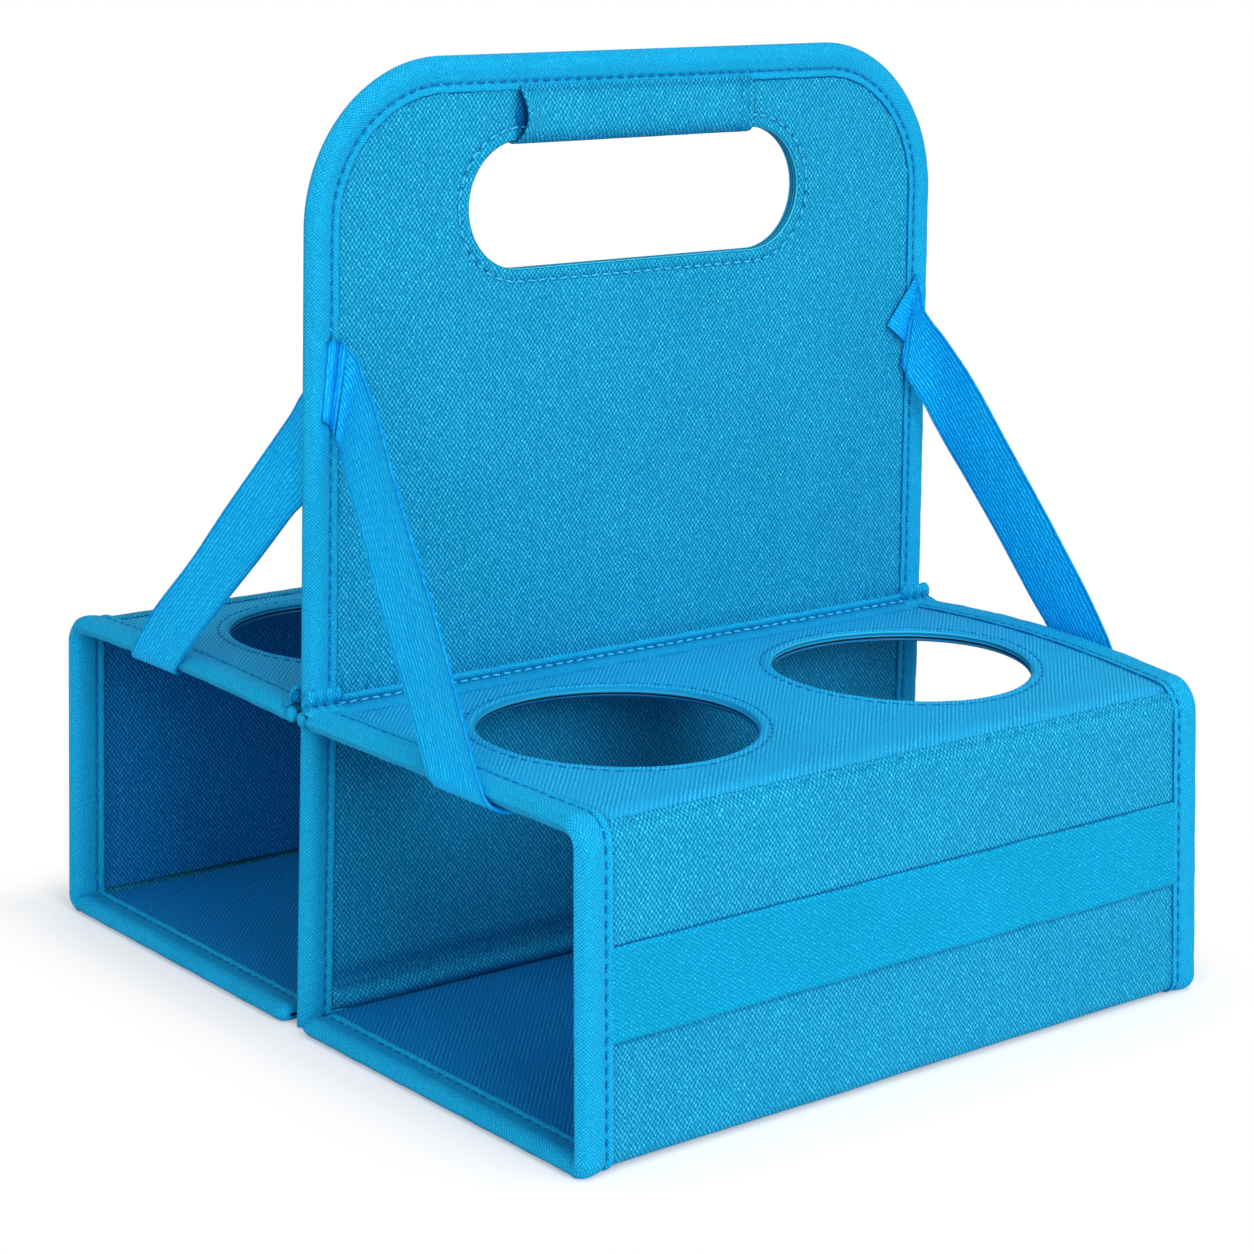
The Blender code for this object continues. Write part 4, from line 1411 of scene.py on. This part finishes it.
def strap_points(strap):
    """The strap's outer face in rows along it, from the handle to its tail under the top panel.

    Returns the rows, and the share of the strap's width at each of their points.
    """
    head, upper, lower = (np.array(part) / 1000 for part in strap)
    edges = [even(upper, 26), even(lower, 26)]
    pairs = curve_through(np.concatenate((head, np.concatenate(edges, axis=1))), 0.0017)
    share = np.linspace(0, 1, 25)
    rows = pairs[:, None, :3] + (pairs[:, None, 3:] - pairs[:, None, :3]) * share[None, :, None]
    free = smooth(rows[:, :1, 0], 0.006, 0.020)
    bow = np.sin(pi * share)[None] * (0.0012 * hill(rows[:, :1, 0] - 0.014, 0.012) - 0.0003) * free
    curl = (hill(share, 0.05) + hill(share - 1, 0.05))[None] * 0.00018 * free
    rows[..., 1] += bow + curl
    rows[..., 0] += bow * 0.6
    centre, radius = np.array((HALF_DEPTH - 0.0028, TOP_MID)), 0.0041
    wraps, slope, start = [], 0.72, radians(18)
    for angle in np.linspace(start, -pi / 2, 16):
        row = rows[-1].copy()
        row[:, 0] += (radius * (start - angle) + 0.0025) * slope
        row[:, 1] = centre[0] + radius * cos(angle)
        row[:, 2] = centre[1] + radius * sin(angle)
        wraps.append(row)
    wraps += [wraps[-1] + (tail * slope, -tail, 0) for tail in (0.002, 0.004, 0.006, 0.008)]
    return np.concatenate((rows, np.stack(wraps))), share


def strap_flap(cloth, sign, place):
    """The short end of a rear strap, folded over on the handle panel, with painted shade over it
    that is deepest along one edge and none at the other, and on its cut rims.
    """
    first, last = np.array(STRAP_FLAP) / 1000
    s, w = np.linspace(0, 1, 24)[:, None], np.linspace(0, 1, 12)[None]
    edges = first + (last - first) * s
    points = edges[:, None, :3] + (edges[:, None, 3:] - edges[:, None, :3]) * w[..., None]
    points[..., 0] += 0.0006 * np.sin(pi * w) * s
    coords = stack(w * 0.010, s * 0.021)
    shade = 0.3 + 0.6 * hill(w, 0.12) - 0.3 * hill(w - 1, 0.06) + 0 * s
    order = slice(None, None, sign)
    points = place(points * (1, sign, 1))
    cloth.shell(points[:, order], coords[:, order], 0.0007, shade[:, order], rim_shade=0.5)


def strap(box, sign):
    """One strap, sewn with its threads across at the handle and along it from the fold on, with
    painted shade in its valley by the handle and on its cut rims.
    """
    end = box.end(sign)
    order = slice(None, None, sign)
    rows, share = strap_points(STRAPS.get(f"{box.side} {end}", STRAPS[end]))
    coords = stack(run(rows[:, len(share) // 2])[:, None], share[None] * 0.0198)
    # Darker lines just in from both edges, and painted shade right at the edges
    edge_darkening = (hill(share - 0.05, 0.02) + hill(share - 0.95, 0.02)
                + 1.4 * hill(share * (1 - share), 0.012))
    # Painted shade in the valley where the strap leaves the handle
    shade = 0.7 * (1 - smooth(rows[..., 0], 0.0034, 0.0046)) + 0.3 * edge_darkening[None]
    cloth = Cloth()
    points = box.place(rows * (1, sign, 1))
    split = int(np.argmax(rows[:, 0, 0] > 0.0053)) + 1
    # The cut rims get painted shade
    for part, swap in ((slice(0, split), -1), (slice(split, None), 1)):
        cloth.shell(points[part, order], coords[part, order, ::swap], 0.0008, shade[part, order],
                    rim_shade=0.5)
    if end == "rear":
        strap_flap(cloth, sign, box.place)
    piece = box.dress(cloth, end + "_strap_elastic", "elastic", [end + "_strap"])
    box.blend(piece, "handle", "top", (0.0220, 0.1630), (0.0676, 0.1023))


class CARRIER_OT_straps(bpy.types.Operator):
    """Sew the elastic straps from the handle panel to the top panels"""

    bl_idname = "carrier.straps"
    bl_label = "Elastic straps"

    def execute(self, context):
        for box in BOXES:
            strap(box, -1)
            strap(box, 1)
        return {"FINISHED"}


# ---------------------------------------------------------------- stitches


def stitch_tree():
    """Geometry Nodes: stitches laid end to end along sewn lines, turned to face off the cloth."""
    tree = bpy.data.node_groups.new("Stitches along a line", "GeometryNodeTree")
    for label, kind, default in (
        ("Geometry", "NodeSocketGeometry", None), ("Pitch", NUMBER, 0.004),
        ("Length", NUMBER, 0.0025), ("Width", NUMBER, 0.0006),
        ("Thread", "NodeSocketMaterial", None), ("Seed", "NodeSocketInt", 3),
    ):
        socket = tree.interface.new_socket(label, in_out="INPUT", socket_type=kind)
        if default is not None:
            socket.default_value = default
    tree.interface.new_socket("Geometry", in_out="OUTPUT", socket_type="NodeSocketGeometry")
    nodes = Nodes(tree)
    entry = nodes.add("NodeGroupInput").outputs
    leave = nodes.add("NodeGroupOutput").inputs

    def first(kind, inputs, **settings):
        return nodes.add(kind, inputs, **settings).outputs[0]

    line = first("GeometryNodeMeshToCurve", {"Mesh": entry["Geometry"]})
    points = nodes.add("GeometryNodeCurveToPoints", {"Curve": line, "Length": entry["Pitch"]},
                       mode="LENGTH")
    facing = first("GeometryNodeInputNamedAttribute", {"Name": "facing"},
                   data_type="FLOAT_VECTOR")
    along = first("FunctionNodeAlignRotationToVector", {"Vector": points.outputs["Tangent"]},
                  axis="X")
    turned = first("FunctionNodeAlignRotationToVector", {"Rotation": along, "Vector": facing},
                   axis="Z", pivot_axis="X")
    slip = nodes.add("FunctionNodeRandomValue", {2: -0.14, 3: 0.14, "Seed": entry["Seed"]},
                     data_type="FLOAT")
    tilt = first("ShaderNodeCombineXYZ", {2: slip.outputs[1]})
    tilt = first("FunctionNodeEulerToRotation", {0: tilt})
    turn = first("FunctionNodeRotateRotation", {"Rotation": turned, "Rotate By": tilt},
                 rotation_space="LOCAL")
    bead = first("GeometryNodeMeshUVSphere", {"Segments": 8, "Rings": 5, "Radius": 0.5})
    size = first("ShaderNodeCombineXYZ", {0: entry["Length"], 1: entry["Width"],
                                          2: nodes.math("MULTIPLY", entry["Width"], 0.8)})
    stitch = first("GeometryNodeTransform", {"Geometry": bead, "Scale": size})
    stitch = first("GeometryNodeSetShadeSmooth", {"Geometry": stitch})
    placed = first("GeometryNodeInstanceOnPoints",
                   {"Points": points.outputs[0], "Instance": stitch, "Rotation": turn})
    real = first("GeometryNodeRealizeInstances", {"Geometry": placed})
    dressed = first("GeometryNodeSetMaterial", {"Geometry": real, "Material": entry["Thread"]})
    nodes.plug(leave["Geometry"], dressed)
    return tree


def stitches(name, lines, sewing, tree, thread="dark_thread", scale=1.0):
    """One mesh of the stitches on lines, each a pair of points and the way that they face."""
    points, edges, facing = [], [], []
    for line, out in lines:
        first = len(points)
        points += np.asarray(line).tolist()
        facing += np.broadcast_to(out, (len(line), 3)).tolist()
        edges += [(first + i, first + i + 1) for i in range(len(line) - 1)]
    mesh = bpy.data.meshes.new(name + "_lines")
    mesh.from_pydata(points, edges, [])
    way = mesh.attributes.new("facing", "FLOAT_VECTOR", "POINT")
    way.data.foreach_set("vector", np.array(facing).reshape(-1))
    carrier = link(name + "_lines", mesh)
    modifier = carrier.modifiers.new("stitches", "NODES")
    modifier.node_group = tree
    values = {"Pitch": sewing.pitch, "Length": sewing.length * scale, "Width": sewing.width * scale,
              "Thread": material(thread)}
    for item in tree.interface.items_tree:
        if item.in_out == "INPUT" and item.name in values:
            modifier[item.identifier] = values[item.name]
    evaluated = carrier.evaluated_get(bpy.context.evaluated_depsgraph_get())
    made = bpy.data.meshes.new_from_object(evaluated)
    made.name = name
    piece = link(name, made)
    bpy.data.objects.remove(carrier)
    return piece


def handle_seams(shape, sunk):
    """The sewn lines of the handle's binding, and those round the hand hole."""
    edge = handle_edge()
    centre, reach, radius = hand_hole(shape)
    ring, out, _ = hole_ring(centre, reach, radius, HAND_STEPS)
    y, z = (ring + out * HAND_SEAM).T
    lines, rings = [], []
    for sign in (1, -1):
        face = HANDLE_SKIN + 0.0005 - sunk
        line = edge.offset(shape.handle_tape_width - TAPE_SEAM, sign * face)[4:-4]
        ring = stack(sign * (HANDLE_SKIN - sunk * 0.4), y, z)
        for group, points in ((lines, line), (rings, ring)):
            group.append((handle_place(points), (sign, 0, 0)))
    return lines, rings


def box_seams(box, shape, sunk):
    """The sewn lines of a box's bindings, cup holes and outer seam."""
    lines = []
    for sign in (-1, 1):
        edge = wall_edge(sign)
        for way in (1, -1):
            line = edge.offset(shape.tape_width - TAPE_SEAM, way * (SKIN + 0.0005 - sunk))
            lines.append((box.place(line), edge.facing * way * (box.turn, box.turn, 1)))
    for sign in (-1, 1):
        centre = (shape.cup_x, sign * shape.cup_pitch / 2)
        ring, out, _ = hole_ring(centre, 0, shape.cup_hole / 2, CUP_STEPS)
        x, y = (ring + out * CUP_SEAM).T
        lines.append((box.place(stack(x, y, TOP_MID + SKIN - sunk * 0.4)), (0, 0, 1)))
    way, out, along = side_path(box.lap())
    (x, z), (a, b) = ([np.interp(0.0012, along, part[:, i]) for i in (0, 1)]
                      for part in (way, out))
    hem = HALF_DEPTH - shape.tape_width
    line = stack(x, steps(-hem, hem, 0.002), z)
    return lines + [(box.place(line), np.array((a * box.turn, 0, b)))]


class CARRIER_OT_stitches(bpy.types.Operator):
    """Sew every seam: bindings, hand hole, cup holes, outer seams and welts"""

    bl_idname = "carrier.stitches"
    bl_label = "Stitches"

    def execute(self, context):
        shape, sewing = context.scene.carrier_shape, context.scene.carrier_sewing
        tree = stitch_tree()
        sunk = sewing.depth * 0.35
        lines, rings = handle_seams(shape, sunk)
        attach(stitches("handle_stitches", lines, sewing, tree), "handle")
        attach(stitches("hand_hole_stitches", rings, sewing, tree, "light_thread", 1.2), "handle")
        for box in BOXES:
            lines = box_seams(box, shape, sunk)
            piece = stitches(box.name("box_stitches"), lines, sewing, tree)
            box.blend(piece, "top", "side", *CORNER_BEND)

            inset, face = shape.tape_width - TAPE_SEAM, SKIN + 0.0005 - sunk
            lines = [(box.place(base_edge(sign).offset(inset, -face)), (0, 0, 1))
                     for sign in (-1, 1)]
            piece = stitches(box.name("base_stitches"), lines, sewing, tree)
            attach(piece, box.name("base"))

            half = HANDLE_HALF - 0.0030
            line = stack(0.0040, steps(-half, half, 0.002), 0.09485)
            lines = [(box.place(line), np.array((0.75 * box.turn, 0, 0.66)))]
            piece = stitches(box.name("welt_stitches"), lines, sewing, tree, "light_thread", 1.2)
            box.blend(piece, "handle", "top", *WELT_BEND)
        return {"FINISHED"}


# ---------------------------------------------------------------- stage


def soft_lamp(name, power, size, place, target):
    """A round lamp that looks at a target."""
    data = bpy.data.lights.new(name, "AREA")
    data.shape = "DISK"
    data.size = size
    data.energy = power
    lamp = link(name, data)
    lamp.location = place
    lamp.rotation_euler = (Vector(target) - Vector(place)).to_track_quat("-Z", "Y").to_euler()


def seen_white(nodes):
    """Where the camera, or what it sees mirrored, looks at a surface."""
    path = nodes.add("ShaderNodeLightPath").outputs
    mirrored = nodes.math("MAXIMUM", path["Is Glossy Ray"], path["Is Transmission Ray"])
    return nodes.math("MAXIMUM", path["Is Camera Ray"], mirrored)


def pale_floor(studio):
    """A floor that takes shadows near the carrier and is plain white further off."""
    mesh = bpy.data.meshes.new("floor")
    far = 6.0
    mesh.from_pydata([(-far, -far, 0), (far, -far, 0), (far, far, 0), (-far, far, 0)], [],
                     [(0, 1, 2, 3)])
    paint = bpy.data.materials.new("floor")
    paint.use_nodes = True
    paint.node_tree.nodes.clear()
    nodes = Nodes(paint.node_tree)
    matt = nodes.add("ShaderNodeBsdfDiffuse", {"Color": (studio.floor,) * 3 + (1,)}).outputs[0]
    lift, white = (
        nodes.add("ShaderNodeEmission", {"Color": WHITE, "Strength": strength}).outputs[0]
        for strength in (studio.lift, 1.0))
    lit = nodes.add("ShaderNodeAddShader", {0: matt, 1: lift}).outputs[0]
    place = nodes.add("ShaderNodeTexCoord").outputs["Object"]
    parts = nodes.add("ShaderNodeSeparateXYZ", {0: place}).outputs
    off = nodes.math("MAXIMUM", *(nodes.math("SUBTRACT", nodes.math("ABSOLUTE", part), half)
                                  for part, half in zip(parts, (SPAN, HALF_DEPTH))))
    far_off = nodes.add("ShaderNodeMapRange", {0: off, 1: 0.0, 2: 0.04},
                        interpolation_type="SMOOTHSTEP").outputs[0]
    shown = nodes.add("ShaderNodeMixShader", {0: far_off, 1: lit, 2: white}).outputs[0]
    whole = nodes.add("ShaderNodeMixShader", {0: seen_white(nodes), 1: matt, 2: shown})
    nodes.plug(nodes.add("ShaderNodeOutputMaterial").inputs[0], whole.outputs[0])
    mesh.materials.append(paint)
    return link("floor", mesh)


def pale_sky(studio):
    """An even sky that the camera sees as plain white."""
    world = bpy.data.worlds.new("studio")
    world.use_nodes = True
    world.node_tree.nodes.clear()
    nodes = Nodes(world.node_tree)
    up = nodes.add("ShaderNodeTexCoord").outputs["Generated"]
    up = nodes.add("ShaderNodeSeparateXYZ", {0: up}).outputs[2]
    height = nodes.add("ShaderNodeMapRange", {0: up, 1: 0.0, 2: 1.0, 3: 0.35 * studio.sky,
                                              4: studio.sky}, interpolation_type="SMOOTHSTEP")
    sky, white = (
        nodes.add("ShaderNodeBackground", {"Color": tone, "Strength": strength}).outputs[0]
        for tone, strength in (((0.97, 0.985, 1, 1), height.outputs[0]), (WHITE, 1.0)))
    mixed = nodes.add("ShaderNodeMixShader", {0: seen_white(nodes), 1: sky, 2: white})
    nodes.plug(nodes.add("ShaderNodeOutputWorld").inputs[0], mixed.outputs[0])
    return world


def photo_camera():
    """The camera, fitted to the photograph's landmarks."""
    azimuth, elevation, roll = radians(50.404), radians(14.366), radians(1.709)
    back = Vector((sin(azimuth) * cos(elevation), -cos(azimuth) * cos(elevation), sin(elevation)))
    level = Vector((cos(azimuth), sin(azimuth), 0))
    right = level * cos(roll) + back.cross(level) * sin(roll)
    matrix = Matrix((right, back.cross(right), back)).transposed().to_4x4()
    matrix.translation = Vector((0.00654, -0.00661, 0.10335)) + back * 0.97157
    data = bpy.data.cameras.new("camera")
    data.sensor_width = 36
    data.lens = 94.519
    data.clip_start = 0.01
    camera = link("camera", data)
    camera.matrix_world = matrix
    return camera


class CARRIER_OT_stage(bpy.types.Operator):
    """Set the pale floor, the soft lamps and the camera"""

    bl_idname = "carrier.stage"
    bl_label = "Stage"

    def execute(self, context):
        scene = context.scene
        studio = scene.carrier_studio
        pale_floor(studio)
        scene.world = pale_sky(studio)
        for name, power, size, place in (
            ("key lamp", studio.key, 1.3, (1.9, -0.35, 1.0)),
            ("front lamp", studio.fill, 1.3, (1.0, -1.8, 1.1)),
            ("top lamp", studio.top, 1.4, (0.8, 0.1, 1.8)),
        ):
            soft_lamp(name, power, size, place, (0, 0, 0.1))
        scene.camera = photo_camera()
        scene.view_settings.view_transform = "Standard"
        return {"FINISHED"}


STEPS = (
    CARRIER_OT_materials,
    CARRIER_OT_handle_covers,
    CARRIER_OT_grip_wrap,
    CARRIER_OT_handle_binding,
    CARRIER_OT_top_panels,
    CARRIER_OT_side_panels,
    CARRIER_OT_base_panels,
    CARRIER_OT_box_binding,
    CARRIER_OT_hinges,
    CARRIER_OT_bands,
    CARRIER_OT_straps,
    CARRIER_OT_stitches,
    CARRIER_OT_stage,
)
SETTINGS = {
    "carrier_shape": ShapeSettings,
    "carrier_sewing": SewingSettings,
    "carrier_colours": ColourSettings,
    "carrier_studio": StudioSettings,
}


class CARRIER_PT_panel(bpy.types.Panel):
    """The carrier's settings and steps"""

    bl_idname = "CARRIER_PT_panel"
    bl_label = "Drink carrier"
    bl_space_type = "VIEW_3D"
    bl_region_type = "UI"
    bl_category = "Carrier"

    def draw(self, context):
        for name in SETTINGS:
            settings = getattr(context.scene, name)
            column = self.layout.column(heading=settings.bl_rna.name)
            for label in settings.__annotations__:
                column.prop(settings, label)
        for step in STEPS:
            self.layout.operator(step.bl_idname)


def register():
    for cls in (*SETTINGS.values(), *STEPS, CARRIER_PT_panel):
        bpy.utils.register_class(cls)
    for name, cls in SETTINGS.items():
        setattr(bpy.types.Scene, name, PointerProperty(type=cls))


def unregister():
    for name in SETTINGS:
        delattr(bpy.types.Scene, name)
    for cls in (CARRIER_PT_panel, *reversed(STEPS), *reversed(SETTINGS.values())):
        bpy.utils.unregister_class(cls)


def main():
    register()
    for step in STEPS:
        group, name = step.bl_idname.split(".")
        getattr(getattr(bpy.ops, group), name)()


if __name__ == "__main__":
    main()
